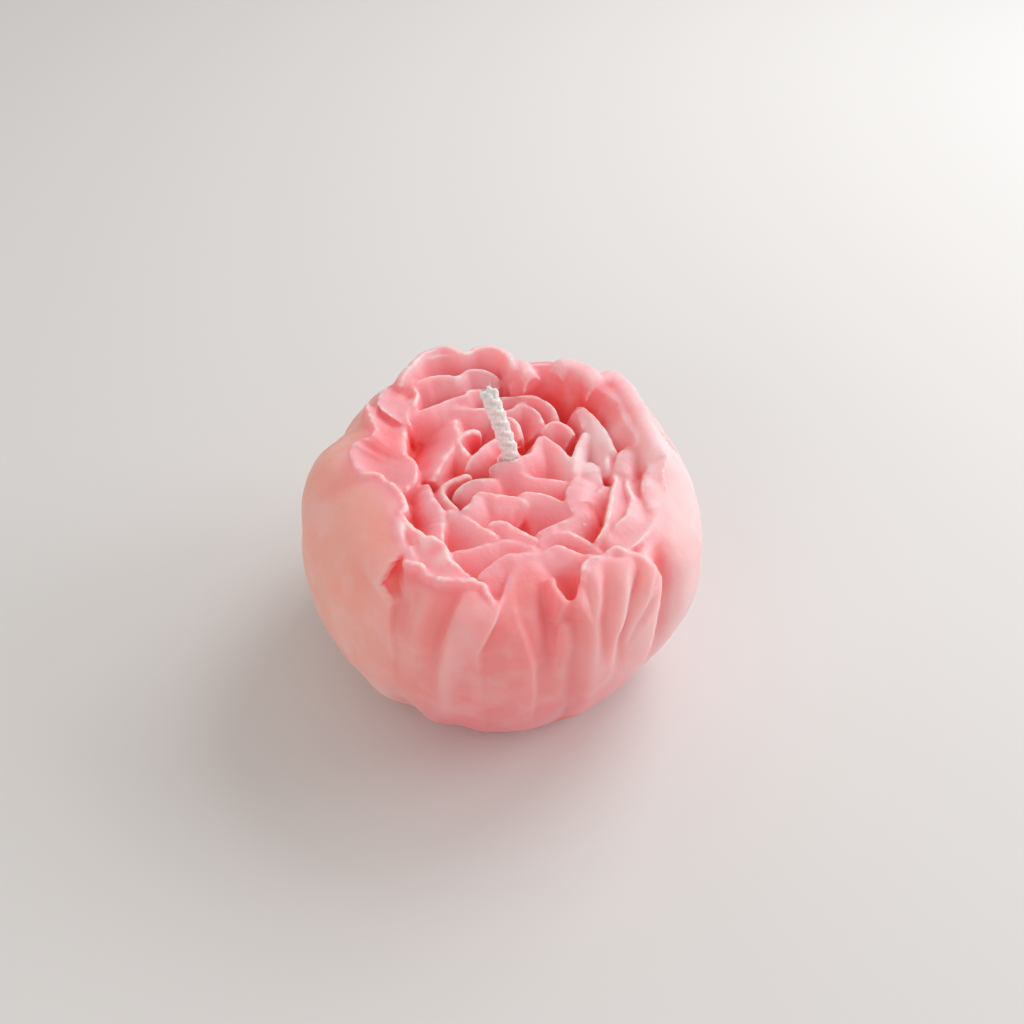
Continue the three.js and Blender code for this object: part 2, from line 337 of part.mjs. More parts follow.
// A closed solid through rings of equal length, fanned shut to a point at each end.
function ringed(rings, firstTip, lastTip) {
  const size = rings[0].length;
  const points = [...rings.flat(), firstTip, lastTip];
  const first = points.length - 2;
  const faces = [];
  for (let i = 0; i < size; i += 1) {
    const next = (i + 1) % size;
    for (let row = 0; row + 1 < rings.length; row += 1) {
      const [a, b] = [row * size + i, row * size + next];
      faces.push([a, b, b + size], [a, b + size, a + size]);
    }
    faces.push([first, next, i]);
    faces.push([first + 1, (rings.length - 1) * size + i, (rings.length - 1) * size + next]);
  }
  return solid(points, faces);
}

// The shoulder at an angle, as [radius, height], from its foot at 0 to the rim at 1.
function shoulder(angle, share) {
  const [widest, start] = WALL[WALL.length - 1];
  const foot = widest * along(GIRTH, angle);
  const [edge, top] = [along(RIM_LINE, angle), along(RIM_LINE, angle, 2)];
  const turn = radians(90 * share);
  const out = Math.max(Math.cos(turn), 0) ** along(SHOULDER_TURN, angle);
  return [edge + (foot - edge) * out, start + (top - start) * Math.sin(turn)];
}

// The cast body without its blades.
function castBody() {
  const outside = new THREE.SplineCurve(WALL.map(([r, z]) => new THREE.Vector2(r, z)));
  const profile = outside.getPoints(WALL_ROWS).map((p) => [p.x, p.y]);
  const rows = [
    ...profile.map(([r, z]) => (angle) => [r * along(GIRTH, angle), z]),
    ...Array.from({ length: SHOULDER_ROWS }, (_, i) => (angle) => shoulder(angle, (i + 1) / SHOULDER_ROWS)),
  ];
  const rings = rows.map((row) => Array.from({ length: COLUMNS }, (_, i) => {
    const angle = (360 * i) / COLUMNS - 180;
    const [radius, height] = row(angle);
    const r = radius + relief(angle, height, radius);
    return [r * Math.cos(radians(angle)), r * Math.sin(radians(angle)), height];
  }));
  const rim = rings[rings.length - 1];
  for (const [share, fall] of BOWL) {
    rings.push(rim.map(([x, y, z]) => [x * share, y * share, z + (BOWL_FLOOR - z) * fall]));
  }
  return ringed(rings, [0, 0, 0], [0, 0, BOWL_FLOOR]);
}

// One side of a blade's section as [distance from the crest, height], from the crest down to the root.
function flank([spread, power], tip, crest) {
  const fall = (from, t) => from - (from - ROOT_HEIGHT) * t ** power;
  if (spread > SHEER) return FACE_ROWS.map((t) => [spread * t, fall(crest, t)]);
  const neck = crest - TIP_DROP;
  const rows = power > 1 ? [0.5, 1] : [1];
  return [
    [tip * LIP_SHARE, crest],
    [tip / 2, neck],
    ...rows.map((t) => [tip / 2 + Math.max(spread - tip / 2, 0) * t, fall(neck, t)]),
  ];
}

// The face from a point of a crest to the same point of another edge, and down from there to the root.
function ramp([x, y, z], edge) {
  const sag = RAMP_SAG * Math.hypot(x - edge.x, y - edge.y);
  const middle = [(x + edge.x) / 2, (y + edge.y) / 2, (z + edge.z) / 2 - sag];
  return [[x, y, z], middle, [edge.x, edge.y, edge.z], [edge.x, edge.y, ROOT_HEIGHT]];
}

const curveThrough = (points) => (
  new THREE.CatmullRomCurve3(points.map((p) => new THREE.Vector3(...p)), false, 'centripetal'));

// A petal blade as a row of short straight pieces that share their end sections.
function blade({ crest, inner, outer, tip = TIP }) {
  const curve = curveThrough(crest);
  const count = Math.max(2, Math.round(curve.getLength() / STEP));
  const spots = curve.getSpacedPoints(count);
  const ends = [0, count];
  const headings = spots.map((_, i) => {
    const before = spots[Math.max(i - 1, 0)];
    const after = spots[Math.min(i + 1, count)];
    return new THREE.Vector2(after.x - before.x, after.y - before.y).normalize();
  });
  const sections = spots.map((spot, i) => {
    const [before, after] = [headings[Math.max(i - 1, 0)], headings[Math.min(i + 1, count)]];
    const bend = before.cross(after) / (ends.includes(i) ? 1 : 2);
    const room = (BEND_LIMIT * (curve.getLength() / count)) / Math.max(Math.abs(bend), 1e-6);
    const lip = spot.z - (ends.includes(i) ? END_SINK : 0);
    const out = [headings[i].y, -headings[i].x];
    const side = (shape, way) => {
      if (Array.isArray(shape[0])) {
        return ramp([spot.x, spot.y, lip], curveThrough(shape).getPointAt(i / count));
      }
      const limit = way * bend < 0 ? room : Infinity;
      return flank(shape, tip, lip).map(([spread, height]) => {
        const shift = way * Math.min(spread, limit);
        return [spot.x + out[0] * shift, spot.y + out[1] * shift, height];
      });
    };
    const [inside, outside] = [side(inner, -1), side(outer, 1)];
    return [...inside.reverse(), ...outside];
  });
  const pieces = [];
  for (let i = 0; i < count; i += 1) pieces.push(stretch(sections[i], sections[i + 1]));
  return pieces;
}

// The closed solid between two sections with the same number of corners.
function stretch(from, to) {
  const size = from.length;
  const [left, right] = [from[0], from[size - 1]];
  const across = new THREE.Vector2(right[0] - left[0], right[1] - left[1]).normalize();
  const flat = from.map(([x, y, z]) => {
    const run = (x - left[0]) * across.x + (y - left[1]) * across.y;
    return new THREE.Vector2(run, z);
  });
  const way = Math.sign(THREE.ShapeUtils.area(flat));
  const faces = [];
  for (const [a, p, q] of THREE.ShapeUtils.triangulateShape(flat, [])) {
    const [b, c] = Math.sign(THREE.ShapeUtils.area([flat[a], flat[p], flat[q]])) === way ? [p, q] : [q, p];
    faces.push([a, b, c], [a + size, c + size, b + size]);
  }
  for (let i = 0; i < size; i += 1) {
    const next = (i + 1) % size;
    faces.push([next, i, i + size], [next, i + size, next + size]);
  }
  return solid([...from, ...to], faces);
}

// How far up the shoulder a height is, at an angle.
function shoulderShare(angle, height) {
  const start = WALL[WALL.length - 1][1];
  const lift = clamp((height - start) / (along(RIM_LINE, angle, 2) - start), 0, 1);
  return Math.asin(lift) / radians(90);
}

// The hollow of the tuck, from outside the wall in to its depths.
function tuckHollow() {
  const { corners, depths } = TUCK;
  const ring = (shift) => corners.map(([angle, height], i) => {
    const r = shoulder(angle, shoulderShare(angle, height))[0] + shift(i);
    return [r * Math.cos(radians(angle)), r * Math.sin(radians(angle)), height];
  });
  const middle = (points) => [0, 1, 2].map((k) => points.reduce((sum, p) => sum + p[k], 0) / points.length);
  const outer = ring(() => TUCK_CLEAR);
  const inner = ring((i) => -depths[i]);
  return ringed([outer, inner], middle(outer), middle(inner));
}

// A round tube along points, as a three.js extrusion.
function tube(points, radius) {
  const section = new THREE.Shape();
  for (let i = 0; i < WICK_SIDES; i += 1) {
    const angle = (2 * Math.PI * i) / WICK_SIDES;
    const at = [radius * Math.cos(angle), radius * Math.sin(angle)];
    if (i === 0) section.moveTo(...at);
    else section.lineTo(...at);
  }
  return new THREE.ExtrudeGeometry(section, { steps: WICK_STEPS, extrudePath: curveThrough(points) });
}

// A three.js geometry as a manifold-3d solid.
function solidFrom(geometry) {
  const bare = geometry.clone();
  bare.deleteAttribute('normal');
  bare.deleteAttribute('uv');
  const merged = mergeVertices(bare, MERGE);
  const vertProperties = merged.attributes.position.array;
  const triVerts = new Uint32Array(merged.index.array);
  return new wasm.Manifold(new wasm.Mesh({ numProp: 3, vertProperties, triVerts }));
}

// A manifold-3d solid as a three.js geometry.
function geometryFrom(made) {
  const { vertProperties, triVerts } = made.getMesh();
  const geometry = new THREE.BufferGeometry();
  geometry.setAttribute('position', new THREE.BufferAttribute(vertProperties, 3));
  geometry.setIndex(new THREE.BufferAttribute(triVerts, 1));
  geometry.computeVertexNormals();
  return geometry;
}

// The small mound of wax that the wick stands in.
function seat() {
  const [x, y] = WICK_PATH[0];
  const circle = (height) => Array.from({ length: WICK_SIDES }, (_, i) => {
    const angle = (2 * Math.PI * i) / WICK_SIDES;
    return [x + SEAT.radius * Math.cos(angle), y + SEAT.radius * Math.sin(angle), height];
  });
  return ringed([circle(SEAT.foot), circle(SEAT.top)], [x, y, SEAT.foot], [x, y, SEAT.top]);
}

// ---- the two pieces
let wax = wasm.Manifold.union([castBody(), seat(), ...PETALS.flatMap(blade)]).subtract(tuckHollow());
const channel = [[...WICK_PATH[0].slice(0, 2), -WICK_FOOT], ...WICK_PATH.slice(1)];
wax = wax.subtract(solidFrom(tube(channel, WICK_RADIUS + WICK_GAP)));
// Only the outer skin is kept, which fills any hollow that the joins have sealed.
wax = wax.decompose().reduce((kept, other) => (other.volume() > kept.volume() ? other : kept));

const waxPink = new THREE.MeshStandardMaterial({ color: WAX_COLOUR, roughness: 0.45 });
const bloom = new THREE.Mesh(geometryFrom(wax), waxPink);
bloom.name = 'wax_body';

const cotton = new THREE.MeshStandardMaterial({ color: COTTON_COLOUR, roughness: 0.9 });
const wick = new THREE.Mesh(tube(WICK_PATH, WICK_RADIUS), cotton);
wick.name = 'wick';

// ---- the origin goes under the middle of the bloom's box
const peony = new THREE.Group();
peony.add(bloom, wick);
const middle = new THREE.Box3().setFromObject(bloom).getCenter(new THREE.Vector3());
peony.position.set(-middle.x, -middle.y, 0);

export default peony;
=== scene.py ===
"""A peony bloom cast in pink wax, with its braided cotton wick, dressed for rendering.

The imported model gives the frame. The bloom is rebuilt here from the petal crests of the part's solid, finely
enough for soft lips, folds and a wax skin, and the wick becomes a braid of cotton strands.
"""

import math

import bpy
import numpy as np
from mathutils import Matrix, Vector, noise


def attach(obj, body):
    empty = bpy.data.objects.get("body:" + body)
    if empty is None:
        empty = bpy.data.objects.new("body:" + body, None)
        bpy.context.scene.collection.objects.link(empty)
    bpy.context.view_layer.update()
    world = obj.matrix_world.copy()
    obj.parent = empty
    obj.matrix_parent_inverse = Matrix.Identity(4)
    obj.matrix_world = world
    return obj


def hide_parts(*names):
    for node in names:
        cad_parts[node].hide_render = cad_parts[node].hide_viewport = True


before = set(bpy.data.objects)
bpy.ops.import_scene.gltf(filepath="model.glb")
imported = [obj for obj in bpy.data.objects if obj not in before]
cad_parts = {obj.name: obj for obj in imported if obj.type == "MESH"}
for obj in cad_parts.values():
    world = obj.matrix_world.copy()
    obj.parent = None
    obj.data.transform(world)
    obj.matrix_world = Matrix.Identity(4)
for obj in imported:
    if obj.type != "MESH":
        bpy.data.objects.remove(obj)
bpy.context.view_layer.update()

MM = 0.001

# ---- sizes of the bloom, in millimetres
# The cast body: radius and height up the outside of the wall, to where its shoulder starts to turn in.
WALL = [(22.5, 0), (24.4, 1.2), (27.6, 5), (30.4, 10), (32.6, 16), (33.4, 22), (33.1, 27)]
# How much of that radius the wall has on each side: (angle, share).
GIRTH = [
    (-180, 0.985), (-157, 0.972), (-142, 0.992), (-135, 0.978), (-124, 0.96), (-115, 0.968), (-105, 0.99),
    (-95, 1), (-82, 0.998), (-68, 0.985), (-54, 0.98), (-42, 0.97), (-31, 0.985), (-24, 1), (-18, 1.01),
    (-10, 1), (2, 0.985), (24, 0.98), (40, 0.985), (90, 1), (150, 0.99), (180, 0.985),
]
# How late the shoulder turns in: (angle, power), where 1 is a quarter ellipse and more is a straighter wall.
SHOULDER_TURN = [(-180, 1), (-20, 1), (0, 1.5), (15, 2.4), (150, 2.4), (165, 1.4), (180, 1)]
# The rim that the shoulder turns in to: (angle, radius, height).
RIM_LINE = [
    (-180, 22.8, 40.3), (-174, 21.8, 39.4), (-168, 19.8, 39.1), (-160, 17.8, 39.1), (-150, 17.3, 38.9),
    (-144, 18.6, 38.4), (-138, 19.8, 38.2), (-131, 20.6, 38.1), (-126, 22.4, 38), (-121, 24.2, 37.8),
    (-116, 24.9, 37.5), (-110, 25.8, 37.4), (-104, 25.3, 37.3), (-98, 25, 37.1), (-94, 25.8, 36.8),
    (-90.5, 27.4, 36.2), (-87, 24, 37), (-82, 20.2, 37.4), (-76, 19.8, 37.5), (-72, 21.4, 36.9),
    (-69, 22.6, 35.4), (-65, 23.4, 35.2), (-60, 25.4, 37.7), (-54, 25, 37.9), (-49, 25.4, 37.9),
    (-44, 27, 37.8), (-40, 28.6, 37.3), (-35, 28.2, 37.2), (-29, 26.8, 37.8), (-22, 25.4, 38.1),
    (-14, 24.4, 38.2), (-7, 24.4, 38.5), (-2, 26, 39.2), (4, 26.9, 40.4), (9, 26.2, 41.4), (14, 25.2, 42),
    (24, 25, 42.3), (36, 25.6, 42.4), (44, 25.4, 42.5), (52, 24, 42.8), (60, 23.6, 42.9), (68, 22.6, 42.8),
    (78, 21.2, 42.7), (84, 21.3, 42.8), (90, 23, 43.3), (98, 23.8, 43.3), (106, 23.5, 43.3), (113, 25, 43.3),
    (120, 25, 43.3), (130, 23.8, 43), (138, 24.2, 41.8), (144, 24.4, 41.3), (151, 23.2, 41),
    (157, 22.2, 40.7), (163, 21, 40.6), (169, 21, 40.6), (174, 22.4, 40.5), (180, 22.8, 40.3),
]
# Inside the rim, the bowl falls to its floor: (share of the rim's radius, share of the fall).
BOWL = [(0.95, 0.3), (0.85, 0.85), (0.5, 1)]
BOWL_FLOOR = 34.4
RIM_EASE = 3.0  # degrees over which the corners of the rim line are rounded

# Laps of the outer petals: (height, angle, step) up the edge, the side on top, 1 for larger angles and -1 for
# smaller ones, and how far the step eases.
LAP_TOP = 0.6  # the share of a step that stands out, where the rest sinks in
LAP_EDGE = 0.6  # how wide the step itself is
RELIEF_FADE = 3.0
LAPS = [
    ([(20, -119, 0.1), (26, -119, 0.5), (31, -120, 0.9), (34.4, -120.5, 1.3), (35, -124, 1.6),
     (35.6, -126.8, 1.8), (37.4, -127.2, 1.4)], -1, 4),
    ([(20, -109, 0.1), (28, -107, 0.7), (32, -105, 1.3), (36, -102.5, 1.5), (38.5, -99, 0.6)], 1, 3.5),
    ([(6, -92.5, 0.2), (14, -93, 0.4), (24, -93.5, 0.4), (31, -94.5, 0.9), (34, -92, 1.6),
     (36.8, -88, 1.8)], -1, 4),
    ([(8, -80, 0.2), (17, -80.5, 0.6), (23, -80, 0.9), (29, -80.5, 1), (32, -82, 0.8), (36, -85, 0.4)],
     -1, 3),
    ([(26, -76, 0.2), (31, -74.5, 1.3), (35, -71.5, 2), (37, -71, 1.4)], 1, 3),
    ([(14, -43, 0.3), (22, -41.5, 1.3), (30, -40.5, 2.2), (34, -39, 2), (37, -40, 1)], -1, 4),
    ([(8, 8, 0.3), (20, 12, 1), (30, 17, 1.3), (38, 20, 0.8)], 1, 6),
    ([(5, 58, 0.4), (18, 55, 1), (30, 49, 1.4), (38, 46, 0.8)], -1, 6),
    ([(4, 93, 0.4), (16, 90, 0.9), (28, 88, 1.2), (38, 86, 0.8)], 1, 6),
    ([(6, 128, 0.4), (20, 133, 1.1), (32, 137, 1.4), (38, 139, 0.8)], -1, 6),
    ([(12, 172, 0.2), (24, 168, 0.6), (33, 166, 0.8), (38, 165, 0.4)], 1, 6),
    ([(4, -152, 0.2), (16, -157, 0.5), (26, -160, 0.5), (34, -158, 0.3)], 1, 5),
]

# Soft folds of the outer petals: (height, angle, rise) up the wall, minus for a hollow, and half width.
FOLDS = [
    ([(18, -117, 0), (27, -117, -0.6), (35, -117, -0.9), (38, -118, -0.5)], 1.8),
    ([(12, -105, 0.4), (20, -103.5, 0.9), (27, -103, 1), (35, -99, 0.6)], 2),
    ([(10, -122, 0), (24, -115, 0.4), (34, -112, 1), (38, -111, 0.9)], 2.6),
    ([(23, -107, -0.3), (29, -106, -0.9), (32, -105, -0.8), (36, -103, -0.6)], 0.9),
    ([(22, -77, 0), (30, -76, -1.2), (34, -75, -2), (36, -75, -1)], 1.6),
    ([(6, -69, -0.5), (18, -69.5, -0.9), (28, -69, -1), (34, -68, -0.6)], 1.6),
    ([(8, -65, 0.4), (19, -65, 0.8), (28, -64.5, 1), (34, -63, 1), (38, -59, 0.9)], 2),
    ([(32.4, -69.5, -0.3), (34.6, -69, -2), (36, -67.5, -2.8), (37.6, -64, -1.6)], 1.6),
    ([(24, -62, 0), (32, -60.5, -1.2), (36, -57, -1.3), (38, -53.5, -0.8)], 1.2),
    ([(20, -60, 0.3), (29, -58, 0.9), (33, -55, 1.1), (36.5, -51, 1.1), (38.5, -47, 0.7)], 1.4),
    ([(24, -56, -0.6), (29, -55, -1), (33.5, -49, -1.1), (37, -43, -0.9)], 1),
    ([(24, -54, 0), (28, -49, -0.7), (31, -44.5, -0.7), (33, -42, 0)], 0.8),
    ([(12, -38, -0.3), (23, -38, -1.3), (30, -37, -1.5), (36, -35, -0.8)], 2.4),
    ([(16, -32, 0), (24, -29, 0.6), (31, -27, 0.5)], 3),
    ([(2, -131, 0.5), (10, -128, 1.1), (20, -125, 0.5)], 4),
    ([(2, -121, -0.5), (9, -121, -0.7), (18, -120, -0.3)], 2.5),
    ([(2, -113, 0.4), (8, -112, 0.7), (18, -112, 0.3)], 3),
    ([(2, -104, -0.3), (9, -103, -0.5), (16, -103, 0)], 2),
    ([(3, -145, -0.3), (18, -150, -0.4), (34, -152, -0.2)], 6),
    ([(4, -168, 0.2), (18, -166, 0.4), (34, -164, 0.2)], 8),
    ([(24, -175, 0), (32, -171, -0.5), (38, -170, -0.8)], 2.5),
    ([(4, -18, 0.2), (16, -16, 0.4), (34, -14, 0.3)], 7),
    ([(10, 15, 0), (24, 20, -0.6), (38, 24, -0.8)], 2.4),
    ([(6, 30, 0.5), (20, 33, 0.8), (36, 34, 0.6)], 5),
    ([(10, 45, 0), (24, 42, -0.8), (38, 40, -1)], 2.2),
    ([(4, 62, 0.3), (20, 64, 0.7), (38, 62, 0.8)], 3),
    ([(6, 74, -0.5), (22, 70, -0.9), (36, 68, -0.8)], 3),
    ([(12, 84, 0), (26, 82, -0.7), (38, 80, -1)], 2),
    ([(8, 100, 0.2), (22, 101, 0.6), (38, 99, 0.7)], 2.6),
    ([(6, 110, 0.4), (24, 112, 0.7), (36, 114, 0.5)], 5),
    ([(14, 122, 0), (28, 124, -0.8), (38, 124, -1)], 2),
    ([(6, 140, 0.3), (22, 143, 0.6), (38, 144, 0.6)], 3),
    ([(8, 150, -0.4), (24, 153, -0.8), (36, 152, -0.6)], 3),
]

# ---- petal blades
# A petal is its crest, run anticlockwise round the bloom, its inner and its outer side, and for some the
# thickness under the lip. A side is its spread at the root and the power of its curve, or the edge that a
# face runs down to.
ROOT_HEIGHT = 32.8
TIP = 1.1
TIP_DROP = 0.55
SHEER = 2.6  # a side that spreads less than this drops from a rounded lip
RAMP_SAG = 0.12  # how far a face hangs below the straight line to its other edge, as a share of its width
END_SINK = 0.7
END_REACH = 1.5  # length over which the ends of a crest sink
BEND_LIMIT = 0.8  # how far a side may reach into a bend, as a share of the bend's radius

HEART = [
    ([(-1.6, -1, 39.3), (0.2, -0.7, 39.5), (2.1, -0.4, 39.5), (4, 0.9, 39.6), (5.3, 1.9, 39.5),
     (6, 3.9, 39.5), (6.8, 6.3, 39.7)], (1, 1), (8, 1.2)),
    ([(12.5, -2.8, 39), (11, 0.7, 39.5), (9.6, 3, 39.7), (8, 4.9, 39.7), (6.8, 6.6, 39.5)], (7, 1.3),
     (1, 1)),
    ([(2.4, -1, 38.6), (5, -2.9, 38.5), (7.3, -3.4, 38.6), (9.7, -3.8, 38.5), (11.4, -3.8, 38.2)], (0.9, 1),
     (8, 1.25)),
    ([(-7, -6.6, 37.8), (-5.9, -5.6, 38.7), (-4.6, -4.6, 39), (-2.9, -4.1, 39), (-1.3, -3.5, 38.7),
     (0.4, -2.8, 38)], (1.2, 1), (6, 1.2)),
    ([(0.6, 7.4, 38.4), (-0.3, 6, 39), (-1.4, 5, 39), (-2.7, 3, 39.2), (-4.2, 1, 39), (-5.2, -0.4, 38)],
     (5, 1.2), (1, 1)),
    ([(-3.2, 8.8, 38.8), (-5.4, 7.6, 39.1), (-6.7, 5.4, 39.1), (-5.8, 3.2, 39), (-4.4, 1.3, 38.8)],
     (1.1, 1), (4, 1.3)),
    ([(-7.4, 11.6, 39), (-7.3, 9.2, 39.1), (-6.6, 6.8, 39.2), (-7.6, 3.8, 39), (-9, 0.6, 38.9),
     (-10.4, -3, 38.6)], (2.4, 1.4), (9, 1.2)),
    ([(-4.4, -1.8, 38.6), (-6.8, -3.1, 38.6), (-8.5, -4.5, 38.6), (-8.8, -6.3, 38.5), (-8, -8, 38.4),
     (-5.8, -10.2, 38)], (1.2, 1), (3, 1.3)),
    ([(12.2, 7.4, 39.3), (10.5, 8.9, 39.6), (9.2, 9.3, 39.6), (6.9, 7.9, 39.3)], (5, 1.2), (1, 1)),
    ([(7.2, 8.7, 39.4), (6.4, 11.2, 39.6), (5.1, 13.1, 39.6), (3.3, 13.9, 39.7), (2.4, 13, 39.5),
     (0.5, 12.5, 39.3), (-1.6, 12.4, 39)], (6, 1.2), (1, 1)),
    ([(9.6, 11, 39.4), (8.1, 13.8, 40), (6.8, 14.8, 40), (5.1, 15.4, 40.1), (2.6, 15.4, 40),
     (0.1, 15.6, 39.8), (-2.4, 15.2, 39.6)], (4, 1.4), (1.2, 1)),
    ([(3.6, 6.7, 39.2), (2.8, 9, 39.6), (1.6, 10, 39.8), (0.5, 9.3, 39.6), (-0.2, 8.2, 39.2)], (4, 1.3),
     (1, 1)),
]

FRONT = [
    ([(-6.4, -11.2, 37.6), (-4.9, -9.7, 38.4), (-3.9, -8.7, 38.6), (-3.6, -7.2, 38.6), (-2.6, -6.6, 38.6),
     (0, -7.4, 38.5), (3.2, -7.7, 38.5), (5, -9.4, 37.6)], (1, 1), (9, 1.18)),
    ([(2.8, -7, 38.2), (3.9, -6.6, 38.6), (6.5, -6.8, 38.6), (8.9, -7.9, 38.5), (10.8, -9.2, 38.4),
     (12.4, -11, 38)], (1, 1), (9, 1.18)),
    ([(-9, -10.4, 38), (-7.4, -10.1, 38.1), (-6.2, -10.6, 38), (-4.8, -11.9, 38), (-3.2, -13.1, 38),
     (-1.8, -14.1, 38), (0, -15.6, 37.8)], (1, 1), (10, 1.2)),
    ([(-1.9, -13.9, 37.4), (-0.6, -12.6, 38), (0.8, -12.7, 38.1), (2.6, -13.9, 38), (4.8, -15.3, 38),
     (6.4, -16.3, 37.6)], (1, 1), (7, 1.2)),
    ([(5.6, -14.9, 37.8), (7.9, -13.6, 38), (9.4, -12.7, 38.1), (11, -11.9, 38.1), (12.9, -10.4, 38),
     (14.8, -9.6, 37.8)], (1, 1), (7, 1.2)),
    ([(13, -9, 38), (13.6, -8.3, 38.3), (15.3, -6.4, 38.5), (17.5, -4.3, 38.4)], (1, 1), (6, 1.2)),
    ([(6.2, -17.4, 37.4), (6.5, -15.9, 37.6), (7.3, -15, 37.8), (9.1, -14.6, 37.8), (10.8, -14.7, 37.8),
     (12.7, -15.6, 37.6), (14, -17, 37.5), (15.6, -18.5, 37.3)], (1, 1), (5, 1.25)),
    ([(-7.6, -19, 37.3), (-6.4, -18.5, 37.5), (-4.1, -18, 37.6), (-1.2, -16.9, 37.7), (0.3, -16.4, 37.8),
     (2.6, -16.3, 37.7), (4.8, -17.5, 37.5), (6.5, -18.2, 37.3)], (1, 1), (9, 1.2)),
    ([(-3.4, -24, 36.8), (-2.6, -23, 37.2), (-1.3, -21.6, 37.5), (0, -20.3, 37.7), (1.6, -19.4, 37.8),
     (4.8, -18.8, 37.8), (7.2, -18.2, 37.6), (8.7, -17.2, 37.7), (10.8, -18.1, 37.6), (13.7, -19, 37.5),
     (16.2, -19.5, 37.4)], (1, 1), (8.5, 1.3)),
]

RIGHT = [
    ([(12.5, -2.6, 39.2), (12.1, -0.8, 39.4), (12.2, 1.2, 39.5), (12.9, 3.6, 39.5), (13.7, 5.8, 39.5),
     (14.4, 7.6, 39.3)], (1, 1), (3, 2)),
    ([(12.3, -11, 38.4), (11.2, -9.8, 38.8), (10.9, -8.4, 39), (11.3, -5.3, 39), (12.5, -2.4, 38.8)],
     (1, 1), (6, 4)),
    ([(16, -4.8, 38.3), (15.7, -2.6, 38.6), (15, -0.2, 38.7), (14, 1.2, 38.6)], (4.5, 4), (1, 1)),
    ([(14.4, 7, 39.2), (14.1, 8.7, 39.5), (13.4, 11.2, 39.7), (13.3, 13.6, 39.9)], (1, 1), (3, 2.2)),
    ([(18.9, 1.2, 39.6), (17.9, 3.1, 40), (17.3, 5.5, 40), (16.5, 7.5, 40.1), (15.1, 10.5, 40.1),
     (13.3, 13.2, 40.1)], (4, 2.5), (1, 1)),
    ([(17.4, -2.2, 39), (17, 1.4, 39.4), (16.3, 4.9, 39.5), (14.8, 9.5, 39.8)], (2.5, 2), (2.5, 2)),
    ([(18.6, -3.4, 38.6), (18.8, -1.2, 39.5), (19.4, 0.6, 40), (20.6, 2.3, 40.1), (22.9, 4.2, 40.2)],
     (1, 1), (5, 2.5)),
    ([(14.4, -17, 37.6), (15.2, -16.1, 38.2), (16.3, -14.2, 38.7), (17.1, -10.9, 38.9), (17.6, -7.6, 39),
     (18.4, -4.2, 39), (18, -2, 39)], (1.4, 1), [(14.7, -17.6, 37.3), (16, -15.8, 37.5),
     (17.5, -13.3, 37.6), (18.8, -11.6, 37.6), (19.6, -9.9, 37.6), (20.1, -7.3, 37.5), (20, -4.8, 37.6),
     (19.6, -2.5, 37.8)]),
    ([(15.6, -17.2, 37.5), (17, -14.9, 38), (18.6, -12.9, 38.4), (19.9, -11.3, 38.6), (20.7, -8.2, 38.7),
     (20.5, -5.9, 38.7), (20.2, -2.8, 38.5)], (1, 1), [(17, -19, 37.4), (18.8, -18.4, 37.7),
     (20.8, -17, 37.9), (22.8, -14.6, 38), (23.8, -11.8, 38), (23, -9.2, 37.7), (22.5, -7, 37),
     (22.5, -4.5, 36.8), (22.3, -2.2, 37.2)]),
]

BACK = [
    ([(22.3, 2.2, 41.6), (21.3, 4.6, 42), (20.2, 8, 42), (19.6, 11.2, 42), (18.3, 13.4, 42),
     (16.6, 14.9, 42), (14, 17.2, 42), (12.9, 17, 42), (11.8, 17.6, 42), (10.2, 19.4, 42), (7.7, 20.4, 42),
     (5.2, 19.9, 42), (3.3, 18.3, 41.8), (1.6, 17.6, 41.2)], (5.4, 1.1), (6, 4)),
    ([(17, 15.6, 43), (15.5, 17.9, 43.5), (13.9, 19.6, 43.5), (12.3, 20.6, 43.5), (10.6, 20.7, 43.5),
     (9, 19.2, 43)], (4, 4), (4, 2.4)),
    ([(25.8, 0.4, 41), (24.7, 3, 42.3), (23.2, 8, 43), (21.4, 14.3, 43), (20.3, 16.8, 43), (18.9, 18.2, 43),
     (17.7, 17.6, 43), (16.7, 16, 42.6)], (4, 3), (4, 2.4)),
    ([(5.6, 17.6, 43), (4.6, 18.9, 43.5), (3.5, 20.5, 43.5), (1.8, 20.6, 43.2)], (3, 3.5), (4, 2.4)),
    ([(4.2, 17.2, 42.6), (2.2, 19.6, 43.8), (0.9, 22.4, 44), (-1.6, 24, 44), (-3.7, 23.6, 44),
     (-6.2, 22.2, 44), (-9.2, 24, 44), (-11.6, 23, 44), (-13.5, 20.8, 44), (-15.2, 17.7, 43.8),
     (-16.4, 15.4, 43)], (3.4, 1.1), (4, 2.4)),
    ([(0.4, 19, 40.6), (-2.2, 20, 41.7), (-5, 20.2, 42), (-7, 18.4, 42), (-9.2, 18.5, 42), (-11.8, 18, 42),
     (-14.4, 16.6, 42), (-16.8, 16.6, 41.8)], (4.4, 1.5), (1.2, 1)),
    ([(-2, 17.4, 39.8), (-4.2, 17, 40.3), (-5.8, 15.6, 40.5), (-8.6, 14, 40.5), (-10.4, 12.6, 40.5),
     (-12.2, 11.6, 40.5), (-14, 10.8, 40.4), (-15.6, 9.4, 40.2)], (4, 1.5), (1.2, 1)),
    ([(-0.6, 12.6, 38.8), (-2.5, 13, 39.3), (-4.9, 13.2, 39.5), (-8.2, 13.1, 39.5), (-11.5, 12.4, 39.5),
     (-13.3, 11.6, 39.4), (-14.8, 10.4, 39.3)], (6, 1.2), (1, 1)),
]

